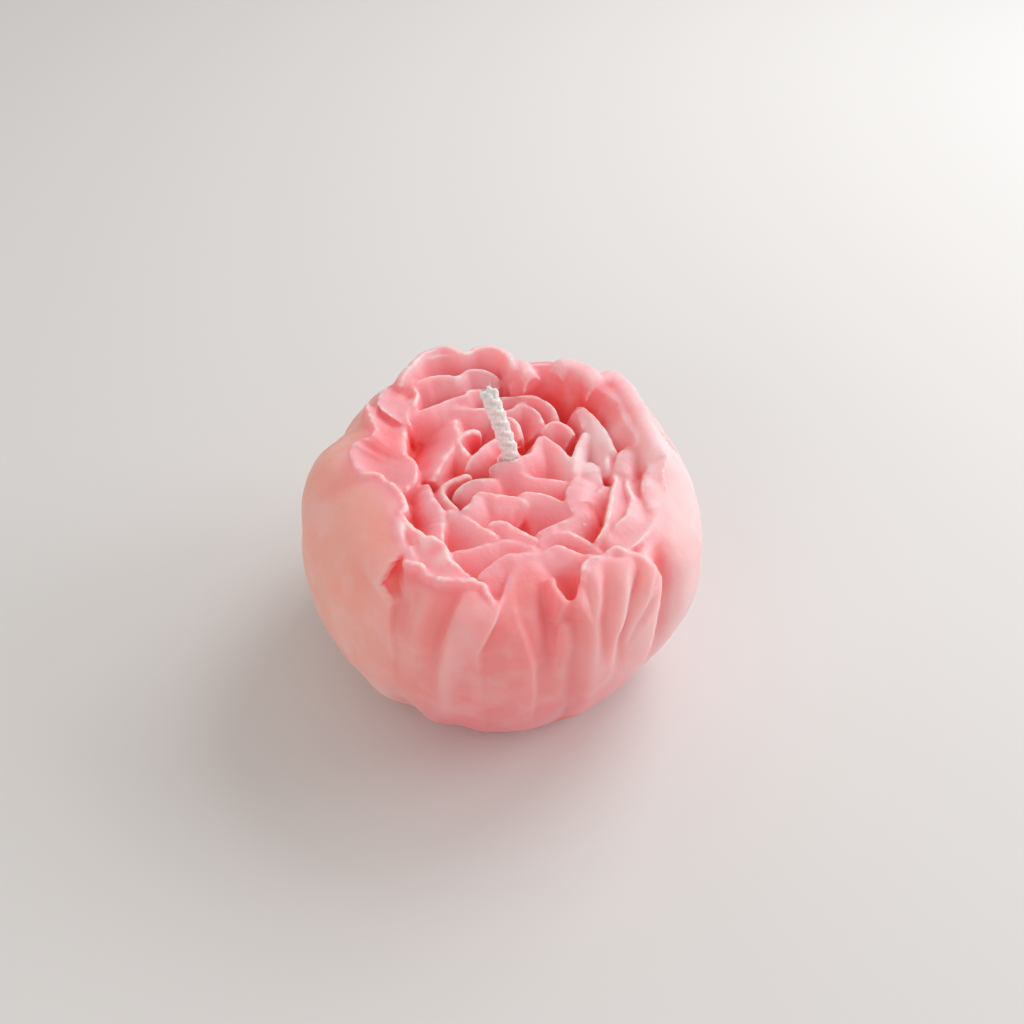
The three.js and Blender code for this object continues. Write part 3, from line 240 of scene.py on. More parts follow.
LEFT_EDGE = [
    (-14.7, 9.8, 39.6), (-15.5, 7.8, 39.6), (-15.7, 5.3, 39.6), (-15.5, 2.9, 39.5), (-14.8, 1, 39.5),
    (-13.5, -0.7, 39.5), (-13, -2.5, 39.4), (-13.4, -4.1, 39.2), (-14.2, -5.3, 39), (-15.1, -6.5, 38.8),
]

RIM = [
    ([(-16.4, 16.5, 41.6), (-19, 16.3, 42), (-20.3, 14.8, 42), (-20.2, 11, 41.8), (-18, 9.2, 41),
     (-15.8, 8, 40.4)], (3, 1.8), [(-15.6, 16.2, 41.6), (-14.5, 15.3, 41.5), (-14.1, 13.6, 41.3),
     (-14.5, 12, 41.1), (-15, 10.6, 40.8), (-14.9, 9.4, 40.4), (-14.3, 8.2, 40)]),
    ([(-15.2, 11.2, 41), (-14, 12.6, 41.5), (-13.7, 14.7, 41.8), (-14.6, 16.2, 42), (-15.9, 16.4, 42)],
     (1, 1), (1.2, 1)),
    ([(-21.8, 12.8, 41.2), (-21.2, 9.4, 41.4), (-19.8, 6.1, 41), (-20.4, 4, 41), (-22.3, 3.2, 41),
     (-23.2, 1.2, 40.8), (-23, -0.8, 40.4), (-21.6, -2.8, 39.8)], LEFT_EDGE, (2.4, 1.6)),
    ([(-22.6, -2, 39.6), (-21.3, -3, 39.6), (-19.4, -3.3, 39.6), (-17.6, -4.8, 39.6), (-16, -6.4, 39.6),
     (-14.7, -8.3, 39.4), (-14.3, -10, 39.2), (-15.9, -11.8, 38.7)], (1.2, 1), (3, 1.8)),
    (LEFT_EDGE, (1.3, 1), (1, 1)),
    ([(-11.4, -3.4, 38.2), (-10.8, -6.6, 38.5), (-9.7, -8.8, 38.5), (-8.8, -10.8, 38.4), (-8.5, -13, 38.2),
     (-8.9, -16.4, 37.8)], (1, 1), (5, 2)),
    ([(-16, -10.9, 38.8), (-14.9, -12.1, 38.9), (-13.6, -13.5, 38.8), (-12.3, -15, 38.8),
     (-11, -16.1, 38.6), (-9.8, -16.3, 38.6), (-8.9, -16.9, 38.5), (-8.1, -17.9, 38.5), (-7.6, -19.5, 38.4),
     (-7, -21, 38.3), (-6.2, -21.7, 38.2), (-5.3, -22.7, 38), (-3.6, -24, 37.6)], (1, 1),
     [(-15.8, -11.4, 38.3), (-14.6, -13.4, 37.7), (-14.1, -15.8, 37.2), (-13.2, -18.4, 37.1),
     (-11.9, -20.3, 37.4), (-10.8, -22, 37.8), (-9.4, -23.4, 38), (-7.4, -24, 38), (-5, -24.2, 37.8),
     (-3.4, -24.6, 37.4)]),
    ([(-16.2, -11.2, 38.5), (-15.2, -12.6, 38.6), (-14.7, -14.4, 38.5), (-14.5, -16.6, 38.4),
     (-14.7, -18.4, 38.1), (-15.3, -19.6, 37.6), (-16, -20.8, 37.1), (-16.8, -22.1, 36.3)], (1, 1),
     (5.5, 1.8)),
    ([(-14.2, -20, 37.8), (-13, -21.2, 38.5), (-11.6, -21.9, 39), (-10.8, -23, 38.8), (-9.4, -24.5, 38.6),
     (-7.6, -24.7, 38.7), (-5.6, -24.7, 38.6), (-3.8, -24.5, 38.4), (-2.3, -25.1, 38), (-1.5, -26.7, 37.4),
     (0, -28.4, 36.6)], (1.2, 1), (2.4, 1.6)),
    ([(7.6, -23, 37.7), (8.5, -24.9, 37.5), (9.3, -26.4, 37), (10.1, -27.6, 36.4)], (1, 1), (2, 1.4), 2),
    ([(11, -27.4, 36.4), (11.9, -24.4, 37.5), (12.5, -22.4, 38), (13.4, -20.8, 38.3), (14.6, -20, 38.4),
     (16, -19.4, 38.2)], (1, 1), (3, 1.6)),
    ([(15.4, -20.2, 37.8), (16.2, -18.9, 38.2), (17.8, -18.1, 38.4), (18.8, -18.8, 38.2), (20.6, -19.1, 38),
     (22.1, -20, 37.4), (23.6, -20.6, 36.6)], (1.2, 1), (3, 1.6)),
    ([(24.5, -11.4, 37.6), (23.7, -10.5, 38.2), (23.4, -9.2, 38.4), (23, -7.3, 38.5), (22.9, -4.8, 38.6),
     (23.2, -2.8, 38.8), (24, -0.6, 39.2)], (1.2, 1), (5, 2.2)),
    ([(26.2, -6.4, 37.6), (26.9, -3.6, 38.8), (27.3, -1, 39.9), (27.5, 1.2, 40.7), (27.3, 3, 41),
     (26.6, 4.8, 41.2)], (3, 2), [(24.6, -5.6, 37.6), (23.9, -3.2, 38.6), (23.5, -1.2, 39.3),
     (23.5, 0.6, 39.9), (23.8, 2.3, 40.4), (24.3, 4, 40.8)]),
]

# Each ring of petals, how far its crests waver, to each side and up and down, and how ragged they are.
PETAL_RINGS = [
    (HEART, 0.08, 0.04),
    (FRONT, 0.1, 0.08),
    (RIGHT, 0.1, 0.08),
    (BACK, 0.12, 0.05),
    (RIM, 0.16, 0.12),
]
WAVER_LENGTH = 2.2
RAGGED_LENGTH = 0.8
# Where in the noise each kind of wavering is read, and how far apart the petals are in it.
WAVER_SEED = 0.5
RAGGED_SEED = 9.5
HEIGHT_SEED = 40
PETAL_SEED = 3.7

# The tuck where an outer petal stands off the wall: its sharp left edge and its right end, (height, angle).
TUCK_EDGE = [(34, -119.5), (34.8, -123.8), (35.4, -126.7), (36.3, -127), (37.1, -127.3), (38, -127)]
TUCK_END = [(34, -118.8), (36, -119.2), (37.1, -121.6), (38, -124.5)]
TUCK_DEEP = 2.6
TUCK_EASE = 0.9  # height over which it dies out at its two ends
TUCK_FROM = 20.0  # the hollow is pressed only into what lies outside this radius
TUCK_ROUNDS = 4  # rounds that soften its edge
# Small pockets in the wax, the last one round the wick's hole in the base: (x, y, height), radius and depth.
POCKETS = [
    ((-15.2, 14.4, 41.3), 1.0, 0.9),
    ((10.2, -24.4, 36.2), 1.8, 1.4),
    ((1.8, 1.7, 0.0), 1.3, 1.3),
]

# The wick, and the small mound of wax that it stands in.
WICK_PATH = [(1.8, 1.7, 0.5), (1.8, 1.7, 20), (1.9, 1.7, 37.4), (1.8, 1.7, 39.4), (1.2, 1.65, 42),
             (0.15, 1.5, 46.1), (-0.8, 1.35, 49.6), (-1.44, 1.24, 52.1)]
SEAT_RADIUS = 2.3
SEAT_FOOT = 30.0
SEAT_TOP = 38.0

# How finely the bloom is built.
VOXEL = 0.25
FILL_ROUNDS = 3
FILL_SHARE = 0.9  # how much of a hollow each round fills, as a share of its depth below the mesh around it
SPLINE_STEPS = 24
WALL_COLUMNS = 720
WALL_ROWS = 100
SHOULDER_ROWS = 60
BOWL_ROWS = 12
SEAT_COLUMNS = 48
CREST_STEP = 0.3
FEWEST_CREST_POINTS = 8
FLANK_ROWS = 14
LIP_ROWS = 6
BEND_WINDOW = 7  # points of a crest that its bend is averaged over
SMALLEST_BEND = 1e-6
NO_LIMIT = 1e9
MOST_TRIANGLES = 190000
UNEVEN = [(7.0, 0.14), (1.6, 0.05)]  # size of the bumps and their height

# What the colour of the wax follows, painted shade and painted light among it.
# The lips are painted paler along the crests, partly the whitish bloom of the wax and partly painted highlight
# and glow of thin edges.
LIP_ROUNDS = 6
VALLEY_ROUNDS = 6
FOLD_ROUNDS = 4
LIP_EASE_ROUNDS = 2
LIP_LOSS = 0.8  # how much less the lips show on the outside of the wall
VALLEY_REACH = 2.0
OUTSIDE_EASE = 4.0
WALL_TOP = 32.0  # below this height all of the surface is the outside of the wall
# Painted light: where the wax is painted palest, on lit and glowing faces, as (x, y) and how far it eases off.
PAINTED_LIGHT_SPOTS = [((13.5, 1.0), 3.5), ((16.5, 6.0), 3.5), ((26.8, 1.5), 4.5),
              ((-13.8, -13.6), 1.2), ((-10.8, -16.6), 1.6), ((-7.8, -19.8), 1.6)]
# Painted shade: the tuck and the notch are coloured as if they lay deeper.
NOTCH = ((10.6, -25.0), 2.0)  # the notch in the front rim, as (x, y) and how far it eases off
HOLLOW_SHADE = 2.3  # how much deeper than it is the wax of the tuck and the notch is coloured
# Painted shade: where else the wax is coloured as if it lay deeper: (x, y), how far it eases off, and how much
# deeper.
PAINTED_SHADE_SPOTS = [((-18.8, 4.0), 3.6, 1.3), ((2.5, -19.5), 3.5, 0.7), ((-3.5, -17.0), 3.0, 0.6),
              ((16.0, -12.6), 1.6, 1.2)]
# Where the painted valley shade is eased, as painted glow of thin petals, so that their hollows stay light:
# (x, y), how far it eases off, and how much.
GLOW_SPOTS = [((-9.0, 18.0), 10.0, 0.85), ((25.0, 0.5), 4.5, 0.8), ((14.5, 2.5), 4.0, 0.7),
              ((6.5, 21.5), 5.0, 0.7), ((-2.5, 21.5), 4.0, 0.8), ((10.6, -25.6), 2.5, 0.6)]
# The grid in plan that holds how high the petals stand.
GRID_HALF = 40.0
GRID_STEP = 0.4
EMPTY_HEIGHT = -1e3


# ---- curves and small sums
def smooth(t):
    return t * t * (3 - 2 * t)


def eased(value):
    """0 up to 0, 1 from 1 on, and a smooth rise between."""
    return smooth(np.clip(value, 0, 1))


def spline(points, count):
    """Points along a centripetal Catmull-Rom curve, evenly spaced, and its length."""
    pts = np.array(points, float)
    pts = np.vstack([2 * pts[0] - pts[1], pts, 2 * pts[-1] - pts[-2]])
    rows = []
    for a, b, c, d in zip(pts, pts[1:], pts[2:], pts[3:]):
        t1 = math.sqrt(np.linalg.norm(b - a))
        t2 = t1 + math.sqrt(np.linalg.norm(c - b))
        t3 = t2 + math.sqrt(np.linalg.norm(d - c))
        t = np.linspace(t1, t2, SPLINE_STEPS, endpoint=False)[:, None]
        ab = a + (b - a) * t / t1
        bc = b + (c - b) * (t - t1) / (t2 - t1)
        cd = c + (d - c) * (t - t2) / (t3 - t2)
        abc = ab + (bc - ab) * t / t2
        bcd = bc + (cd - bc) * (t - t1) / (t3 - t1)
        rows.append(abc + (bcd - abc) * (t - t1) / (t2 - t1))
    dense = np.vstack(rows + [pts[-2][None]])
    run = np.concatenate([[0], np.cumsum(np.linalg.norm(np.diff(dense, axis=0), axis=1))])
    return points_at(dense, run, np.linspace(0, run[-1], count)), run[-1]


def points_at(line, run, at):
    """The points of a line at the given runs along it."""
    return np.stack([np.interp(at, run, line[:, k]) for k in range(line.shape[1])], axis=-1)


def round_the_bloom(points):
    """The radius and the angle of each point."""
    return np.hypot(points[:, 0], points[:, 1]), np.degrees(np.arctan2(points[:, 1], points[:, 0]))


def bell(spread):
    """The weights of a smooth average that reaches a number of places to each side."""
    weights = np.hanning(2 * spread + 3)[1:-1]
    return weights / weights.sum()


def ringed(rings, first_tip, last_tip):
    """A closed mesh through rings of equal length, fanned shut to a point at each end."""
    rows, size = rings.shape[:2]
    points = np.vstack([rings.reshape(-1, 3), [first_tip], [last_tip]])
    i = np.arange(size)
    nxt = (i + 1) % size
    quads = [np.stack([r * size + i, r * size + nxt, (r + 1) * size + nxt, (r + 1) * size + i], axis=1)
             for r in range(rows - 1)]
    start = np.stack([np.full(size, rows * size), nxt, i], axis=1)
    end = np.stack([np.full(size, rows * size + 1), (rows - 1) * size + i, (rows - 1) * size + nxt], axis=1)
    return points, [*np.vstack(quads).tolist(), *start.tolist(), *end.tolist()]


def new_object(name, points, faces):
    """An object in the scene from points in metres."""
    mesh = bpy.data.meshes.new(name)
    mesh.from_pydata(points, [], faces)
    thing = bpy.data.objects.new(name, mesh)
    bpy.context.scene.collection.objects.link(thing)
    return thing


def mesh_object(name, parts):
    """One object from several closed meshes, from millimetres to metres."""
    points = np.vstack([p for p, _ in parts]) * MM
    faces = []
    shift = 0
    for p, f in parts:
        faces.extend([[v + shift for v in face] for face in f])
        shift += len(p)
    thing = new_object(name, points.tolist(), faces)
    thing.data.validate()
    return thing


# ---- the cast body
def reach(path, height):
    """1 along the heights of a path, easing to 0 beyond its two ends."""
    below = path[0][0] - height
    above = height - path[-1][0]
    return eased(1 - np.maximum(np.maximum(below, above), 0) / RELIEF_FADE)


def along(path, key, column=1):
    """A column of a path's points at a key, which is their first column."""
    return np.interp(key, [p[0] for p in path], [p[column] for p in path])


def besides(path, angle, height, radius):
    """Millimetres round the wall from a path to each angle."""
    return np.radians((angle - along(path, height) + 540) % 360 - 180) * radius


def relief(angle, height, radius):
    """How far the wall stands out from its plain profile."""
    rise = np.zeros_like(angle)
    for path, on_top, fade in LAPS:
        side = besides(path, angle, height, radius) * on_top
        step = along(path, height, 2) * reach(path, height)
        rise += (LAP_TOP - 1 + eased(side / LAP_EDGE + 0.5)) * step * np.exp(-((side / fade) ** 2))
    for path, width in FOLDS:
        side = besides(path, angle, height, radius)
        rise += along(path, height, 2) * reach(path, height) * np.exp(-((side / width) ** 2))
    return rise * eased(height / RELIEF_FADE)


def tuck_share(points):
    """How deep in the tuck each point lies: 1 at its sharp left edge, and 0 outside it."""
    radius, angle = round_the_bloom(points)
    height = points[:, 2]
    start, end = along(TUCK_EDGE, height), along(TUCK_END, height)
    share = np.clip((end - angle) / (end - start), 0, 1) * (angle > start)
    low, high = TUCK_EDGE[0][0], TUCK_EDGE[-1][0]
    inside = eased((height - low) / TUCK_EASE) * eased((high - height) / TUCK_EASE)
    return share * inside * (radius > TUCK_FROM)


def rim_at(angle, column):
    """The rim line's radius or height round the bloom, without corners."""
    value = np.interp(angle, [p[0] for p in RIM_LINE], [p[column] for p in RIM_LINE])
    spread = int(RIM_EASE * WALL_COLUMNS / 360)
    return np.convolve(np.pad(value, spread, mode="wrap"), bell(spread), mode="valid")


def cast_body():
    """The wall, the shoulder that turns in to the rim, and the bowl inside it."""
    profile, _ = spline(WALL, WALL_ROWS)
    turns = np.linspace(-180, 180, WALL_COLUMNS, endpoint=False)
    edge, top = rim_at(turns, 1), rim_at(turns, 2)
    share = np.linspace(0, math.pi / 2, SHOULDER_ROWS + 1)[1:, None]
    girth = along(GIRTH, turns)
    foot, start = WALL[-1][0] * girth, WALL[-1][1]
    out = np.clip(np.cos(share), 0, 1) ** along(SHOULDER_TURN, turns)
    radius = np.vstack([profile[:, :1] * girth, edge + (foot - edge) * out])
    wall_height = np.repeat(profile[:, 1:], WALL_COLUMNS, axis=1)
    height = np.vstack([wall_height, start + (top - start) * np.sin(share)])
    angle = np.repeat(turns[None], len(radius), axis=0)
    radius = radius + relief(angle, height, radius)
    rim = radius[-1]
    keys = np.linspace(0, 1, len(BOWL) + 1)
    for fall in np.linspace(0, 1, BOWL_ROWS + 1)[1:]:
        inward = np.interp(fall, keys, [1, *(p[0] for p in BOWL)])
        drop = np.interp(fall, keys, [0, *(p[1] for p in BOWL)])
        radius = np.vstack([radius, rim * inward])
        height = np.vstack([height, top + (BOWL_FLOOR - top) * drop])
    turn = np.radians(turns)
    rings = np.stack([radius * np.cos(turn), radius * np.sin(turn), height], axis=2)
    return ringed(rings, (0, 0, 0), (0, 0, BOWL_FLOOR))


# ---- petal blades
def flank(spread, power, half, crest):
    """One side of a blade's section, from crest to root, as (distance from the crest, heights)."""
    shares = np.linspace(0, 1, FLANK_ROWS + 1)
    if spread > SHEER:
        return [(spread * t, crest - (crest - ROOT_HEIGHT) * t ** power) for t in shares]
    turns = np.linspace(0, math.pi / 2, LIP_ROWS)
    lip = [(half * math.sin(a), crest - TIP_DROP * (1 - math.cos(a))) for a in turns]
    neck = crest - TIP_DROP
    beyond = max(spread - half, 0)
    return lip + [(half + beyond * t, neck - (neck - ROOT_HEIGHT) * t ** power) for t in shares[1:]]


def ramp(crest, edge):
    """The rows of a face that runs down from a crest to another edge, and from there to the root."""
    sag = np.zeros_like(crest)
    sag[:, 2] = RAMP_SAG * np.linalg.norm(crest[:, :2] - edge[:, :2], axis=1)
    shares = np.linspace(0, 1, FLANK_ROWS + 1)
    rows = [crest * (1 - t) + edge * t - sag * math.sin(math.pi * t) for t in shares]
    return rows + [np.column_stack([edge[:, :2], np.full(len(edge), ROOT_HEIGHT)])]


def wander(run, waver, ragged, seed):
    """How far a crest strays from its line, broadly and in small nicks."""
    broad = [noise.noise(Vector((at / WAVER_LENGTH, seed, WAVER_SEED))) for at in run]
    fine = [noise.noise(Vector((at / RAGGED_LENGTH, seed, RAGGED_SEED))) for at in run]
    return 2 * waver * np.array(broad) + 2 * ragged * np.array(fine)


def crest_points(crest, waver, ragged, seed):
    """Points along a wavering crest, its heading in plan at each of them, and the step between them."""
    length = spline(crest, 2)[1]
    count = max(FEWEST_CREST_POINTS, int(length / CREST_STEP))
    spots, _ = spline(crest, count)
    run = np.linspace(0, length, count)
    heading = np.gradient(spots[:, :2], axis=0)
    heading /= np.linalg.norm(heading, axis=1)[:, None]
    aside = wander(run, waver, ragged, seed)
    spots[:, 0] += heading[:, 1] * aside
    spots[:, 1] -= heading[:, 0] * aside
    spots[:, 2] += wander(run, waver, ragged, seed + HEIGHT_SEED)
    from_end = np.minimum(np.arange(count), np.arange(count)[::-1]) * length / count
    spots[:, 2] -= END_SINK * np.clip(1 - from_end / END_REACH, 0, 1) ** 2
    return spots, heading, length / count


def bend_along(heading):
    """How far a crest turns from each point to the next, smoothed."""
    turn = np.unwrap(np.arctan2(heading[:, 1], heading[:, 0]))
    window = np.ones(BEND_WINDOW) / BEND_WINDOW
    return np.convolve(np.pad(np.gradient(turn), BEND_WINDOW // 2, mode="edge"), window, mode="valid")


def blade(waver, ragged, seed, crest, inner, outer, tip=TIP):
    """A petal: a closed mesh that falls from its crest to the root on both sides."""
    spots, heading, step = crest_points(crest, waver, ragged, seed)
    bend = bend_along(heading)
    room = BEND_LIMIT * step / np.maximum(np.abs(bend), SMALLEST_BEND)
    sides = []
    for sign, form in ((-1, inner), (1, outer)):
        if isinstance(form, list):
            sides.append(ramp(spots, spline(form, len(spots))[0]))
            continue
        limit = np.where(bend * -sign > 0, room, NO_LIMIT)
        side = []
        for wide, height in flank(*form, tip / 2, spots[:, 2]):
            shift = sign * np.minimum(wide, limit)
            x = spots[:, 0] + heading[:, 1] * shift
            y = spots[:, 1] - heading[:, 0] * shift
            side.append(np.stack([x, y, height], axis=1))
        sides.append(side)
    rings = np.stack(sides[0][::-1] + sides[1][1:], axis=1)
    return ringed(rings, rings[0].mean(axis=0), rings[-1].mean(axis=0))


def all_blades():
    blades = []
    for petals, waver, ragged in PETAL_RINGS:
        for petal in petals:
            blades.append(blade(waver, ragged, PETAL_SEED * len(blades), *petal))
    return blades


def seat():
    """The mound of wax round the foot of the wick."""
    turn = np.linspace(0, 2 * math.pi, SEAT_COLUMNS, endpoint=False)
    x, y = WICK_PATH[0][:2]
    rings = np.array([[(x + SEAT_RADIUS * math.cos(a), y + SEAT_RADIUS * math.sin(a), z) for a in turn]
                      for z in (SEAT_FOOT, SEAT_TOP)])
    return ringed(rings, (x, y, SEAT_FOOT), (x, y, SEAT_TOP))


# ---- joining and smoothing
def apply(thing, kind, **settings):
    """Adds a modifier, sets it up and applies it."""
    modifier = thing.modifiers.new(kind.lower(), kind)
    for key, value in settings.items():
        setattr(modifier, key, value)
    bpy.context.view_layer.objects.active = thing
    bpy.ops.object.modifier_apply(modifier=modifier.name)


def read_points(mesh):
    points = np.empty(len(mesh.vertices) * 3, dtype=np.float32)
    mesh.vertices.foreach_get("co", points)
    return points.reshape(-1, 3)


def write_points(mesh, points):
    mesh.vertices.foreach_set("co", points.astype(np.float32).ravel())
    mesh.update()


def read_normals(mesh):
    normals = np.empty(len(mesh.vertices) * 3, dtype=np.float32)
    mesh.vertex_normals.foreach_get("vector", normals)
    return normals.reshape(-1, 3)


def edge_pairs(mesh):
    pairs = np.empty(len(mesh.edges) * 2, dtype=np.int32)
    mesh.edges.foreach_get("vertices", pairs)
    return pairs.reshape(-1, 2)


def relaxed(values, pairs, rounds, share=0.5):
    """Values averaged over their mesh neighbours, a number of rounds."""
    count = np.bincount(pairs.ravel(), minlength=len(values)).astype(np.float32)[:, None]
    flat = values.astype(np.float32).reshape(len(values), -1)
    for _ in range(rounds):
        total = np.zeros_like(flat)
        for k in range(flat.shape[1]):
            total[:, k] = (np.bincount(pairs[:, 0], weights=flat[pairs[:, 1], k], minlength=len(flat))
                           + np.bincount(pairs[:, 1], weights=flat[pairs[:, 0], k], minlength=len(flat)))
        flat = flat * (1 - share) + share * total / count
    return flat.reshape(values.shape)


def soften(mesh, pairs):
    write_points(mesh, relaxed(read_points(mesh), pairs, 1))


def fill_valleys(mesh, pairs):
    """Rounds off the hollows and leaves the crests sharp."""
    for _ in range(FILL_ROUNDS):
        points = read_points(mesh)
        normals = read_normals(mesh)
        out = ((relaxed(points, pairs, 1, 1.0) - points) * normals).sum(axis=1, keepdims=True)
        write_points(mesh, points + normals * np.clip(out, 0, None) * FILL_SHARE)


def press_pockets(mesh):
    for centre, radius, depth in POCKETS:
        points = read_points(mesh)
        away = np.linalg.norm(points - np.array(centre) * MM, axis=1, keepdims=True) / (radius * MM)
        write_points(mesh, points - read_normals(mesh) * depth * MM * np.exp(-away ** 2))


def press_tuck(mesh, pairs):
    """Presses the tuck straight in towards the middle of the bloom, only where the surface faces out."""
    points = read_points(mesh) / MM
    radius, _ = round_the_bloom(points)
    outward = (read_normals(mesh)[:, :2] * points[:, :2]).sum(axis=1) / radius
    depth = TUCK_DEEP * tuck_share(points) * eased(2 * outward)
    depth = relaxed(depth, pairs, TUCK_ROUNDS)
    points[:, :2] *= (1 - depth / radius)[:, None]
    write_points(mesh, points * MM)


def roughened(mesh):
    """The soft unevenness of a hand-poured casting, on a base that stays on the floor."""
    points = read_points(mesh)
    rise = np.zeros(len(points))
    for size, height in UNEVEN:
        rise += height * MM * np.array([noise.noise(Vector(p)) for p in points / (size * MM)])
    points += read_normals(mesh) * rise[:, None]
    points[:, 2] = np.maximum(points[:, 2], 0)
    write_points(mesh, points)


# ---- what the colour of the wax follows, painted shade and painted light among it
def shade_values(mesh, name, values):
    layer = mesh.attributes.new(name, "FLOAT", "POINT")
    layer.data.foreach_set("value", values.astype(np.float32).ravel())


def valley_depth(points):
    """How far each point lies below the petals within VALLEY_REACH of it."""
    side = int(2 * GRID_HALF / GRID_STEP)
    cell = np.clip(((points[:, :2] + GRID_HALF) / GRID_STEP).astype(int), 0, side - 1)
    top = np.full((side, side), EMPTY_HEIGHT)
    np.maximum.at(top, (cell[:, 0], cell[:, 1]), points[:, 2])
    cells = int(VALLEY_REACH / GRID_STEP)
    for axis in (0, 1):
        top = np.max([np.roll(top, k, axis=axis) for k in range(-cells, cells + 1)], axis=0)
    for axis in (0, 1):
        top = np.apply_along_axis(lambda row: np.convolve(row, bell(cells), mode="same"), axis, top)
    return top[cell[:, 0], cell[:, 1]] - points[:, 2]


def near(points, spot, reach_out):
    """1 at a spot in plan, easing off around it."""
    away = np.linalg.norm(points[:, :2] - np.array(spot), axis=1) / reach_out
    return np.exp(-away ** 2)


def shade_bloom(mesh):
    """Stores how deep the wax lies, for the painted shade of valleys, tuck and notch, where it is wall, and
    the folds, lips and spots that carry painted light and shade.
    """
    pairs = edge_pairs(mesh)
    points = read_points(mesh) / MM
    radius, angle = round_the_bloom(points)
    # The tuck and the notch, which are painted in shade.
    hollow = np.maximum(tuck_share(points), near(points, *NOTCH))
    beyond_rim = eased((radius - along(RIM_LINE, angle)) / OUTSIDE_EASE)
    below_rim = eased((WALL_TOP - points[:, 2]) / OUTSIDE_EASE)
    outside = np.maximum(beyond_rim, below_rim) * (1 - hollow)
    valley_shade = relaxed(valley_depth(points), pairs, VALLEY_ROUNDS)
    for spot, reach_out, share in GLOW_SPOTS:
        valley_shade *= 1 - share * near(points, spot, reach_out)
    for spot, reach_out, deeper in PAINTED_SHADE_SPOTS:
        valley_shade += deeper * near(points, spot, reach_out)
    out = ((points - relaxed(points, pairs, LIP_ROUNDS)) * read_normals(mesh)).sum(axis=1)
    painted_light = np.max([near(points, *spot) for spot in PAINTED_LIGHT_SPOTS], axis=0)
    shade_values(mesh, "valley_shade", valley_shade + HOLLOW_SHADE * hollow)
    shade_values(mesh, "outside", outside)
    # Painted light and shade of the folds: paler on their ridges, pinker in their hollows.
    shade_values(mesh, "fold_shading", relaxed(relief(angle, points[:, 2], radius), pairs, FOLD_ROUNDS))
    shade_values(mesh, "lip", relaxed(out, pairs, LIP_EASE_ROUNDS) * (1 - LIP_LOSS * outside))
    shade_values(mesh, "painted_light", painted_light)


def build_bloom():
    bloom = mesh_object("bloom", [cast_body(), seat(), *all_blades()])
    apply(bloom, "REMESH", mode="VOXEL", voxel_size=VOXEL * MM, adaptivity=0.0)
    mesh = bloom.data
    pairs = edge_pairs(mesh)
    soften(mesh, pairs)
    press_pockets(mesh)
    fill_valleys(mesh, pairs)
    press_tuck(mesh, pairs)
    soften(mesh, pairs)
    triangles = sum(len(p.vertices) - 2 for p in mesh.polygons)
    if triangles > MOST_TRIANGLES:
        apply(bloom, "DECIMATE", ratio=MOST_TRIANGLES / triangles)
    roughened(bloom.data)
    shade_bloom(bloom.data)
    bloom.data.shade_smooth()
    return bloom


def middle_of(mesh):
    """The middle of a mesh's box in plan, on the floor."""
    points = read_points(mesh)
    middle = (points.min(axis=0) + points.max(axis=0)) / 2
    middle[2] = 0
    return middle


bloom = build_bloom()
ORIGIN = middle_of(bloom.data)
write_points(bloom.data, read_points(bloom.data) - ORIGIN)


# ---- materials
BLUSH = (0.98, 0.43, 0.475)
PINK = (0.97, 0.27, 0.30)
CORAL = (0.98, 0.145, 0.14)
PEACH = (0.95, 0.43, 0.36)
ROSE = (0.94, 0.31, 0.31)
FOOT_ROSE = (0.94, 0.25, 0.285)
PALE = (1.0, 0.74, 0.76)
EDGE = (1.0, 0.78, 0.74)
SPECK = (0.45, 0.12, 0.08)
COTTON = (0.98, 0.97, 0.95)
SOAKED = (0.93, 0.91, 0.88)
PAPER = (0.72, 0.715, 0.71, 1)

# Tints laid over a colour in turn: what each follows, where it starts, where it is full, its share there, and
# its colour. Places are in metres, and depths and rises in millimetres.
# Painted light and shade on the petals: paler towards the lit right side, and painted shade from pink to coral
# down the valleys.
PETAL_TINTS = [
    ("x", 0.006, 0.032, 0.5, PALE),
    ("valley_shade", 0.2, 2.0, 1.0, PINK),
    ("valley_shade", 1.4, 4.0, 1.0, CORAL),
]
# On the wall: rosier towards the foot and peach towards the left; painted light, paler towards the lit right
# side; painted highlight on the folds' ridges and painted shade in their hollows; and blotches of paler wax.
WALL_TINTS = [
    ("z", 0.026, 0.010, 0.9, FOOT_ROSE),
    ("x", -0.004, -0.026, 1.0, PEACH),
    ("x", 0.006, 0.032, 0.6, PALE),
    ("fold_shading", 0.1, 1.4, 0.32, PALE),
    ("fold_shading", -0.1, -1.3, 0.6, PINK),
    ("blotch", 0.45, 0.75, 0.14, PALE),
]
# Over all: the lips painted pale, partly whitish bloom of the wax and partly painted highlight and glow of
# thin edges; painted light on the highest petals, as if they glowed; and a fine paler mottle of the wax.
SKIN_AND_LIGHT_TINTS = [
    ("lip", 0.03, 0.08, 0.65, EDGE),
    ("z", 0.0418, 0.0446, 0.45, PALE),
    ("mottle", 0.48, 0.72, 0.2, PALE),
]
PAINTED_LIGHT_SHARE = 0.8
# Specks: the scale of the cells that may hold one, the random value from which a cell does, and the speck's
# edge, measured from the middle of its cell.
SPECK_CELLS = 170.0
SPECK_CHANCE = (0.74, 0.76)
SPECK_EDGE = (0.045, 0.02)
SPECK_SHARE = 0.8


def new_material(name):
    mat = bpy.data.materials.new(name)
    mat.use_nodes = True
    return mat, mat.node_tree, mat.node_tree.nodes["Principled BSDF"]


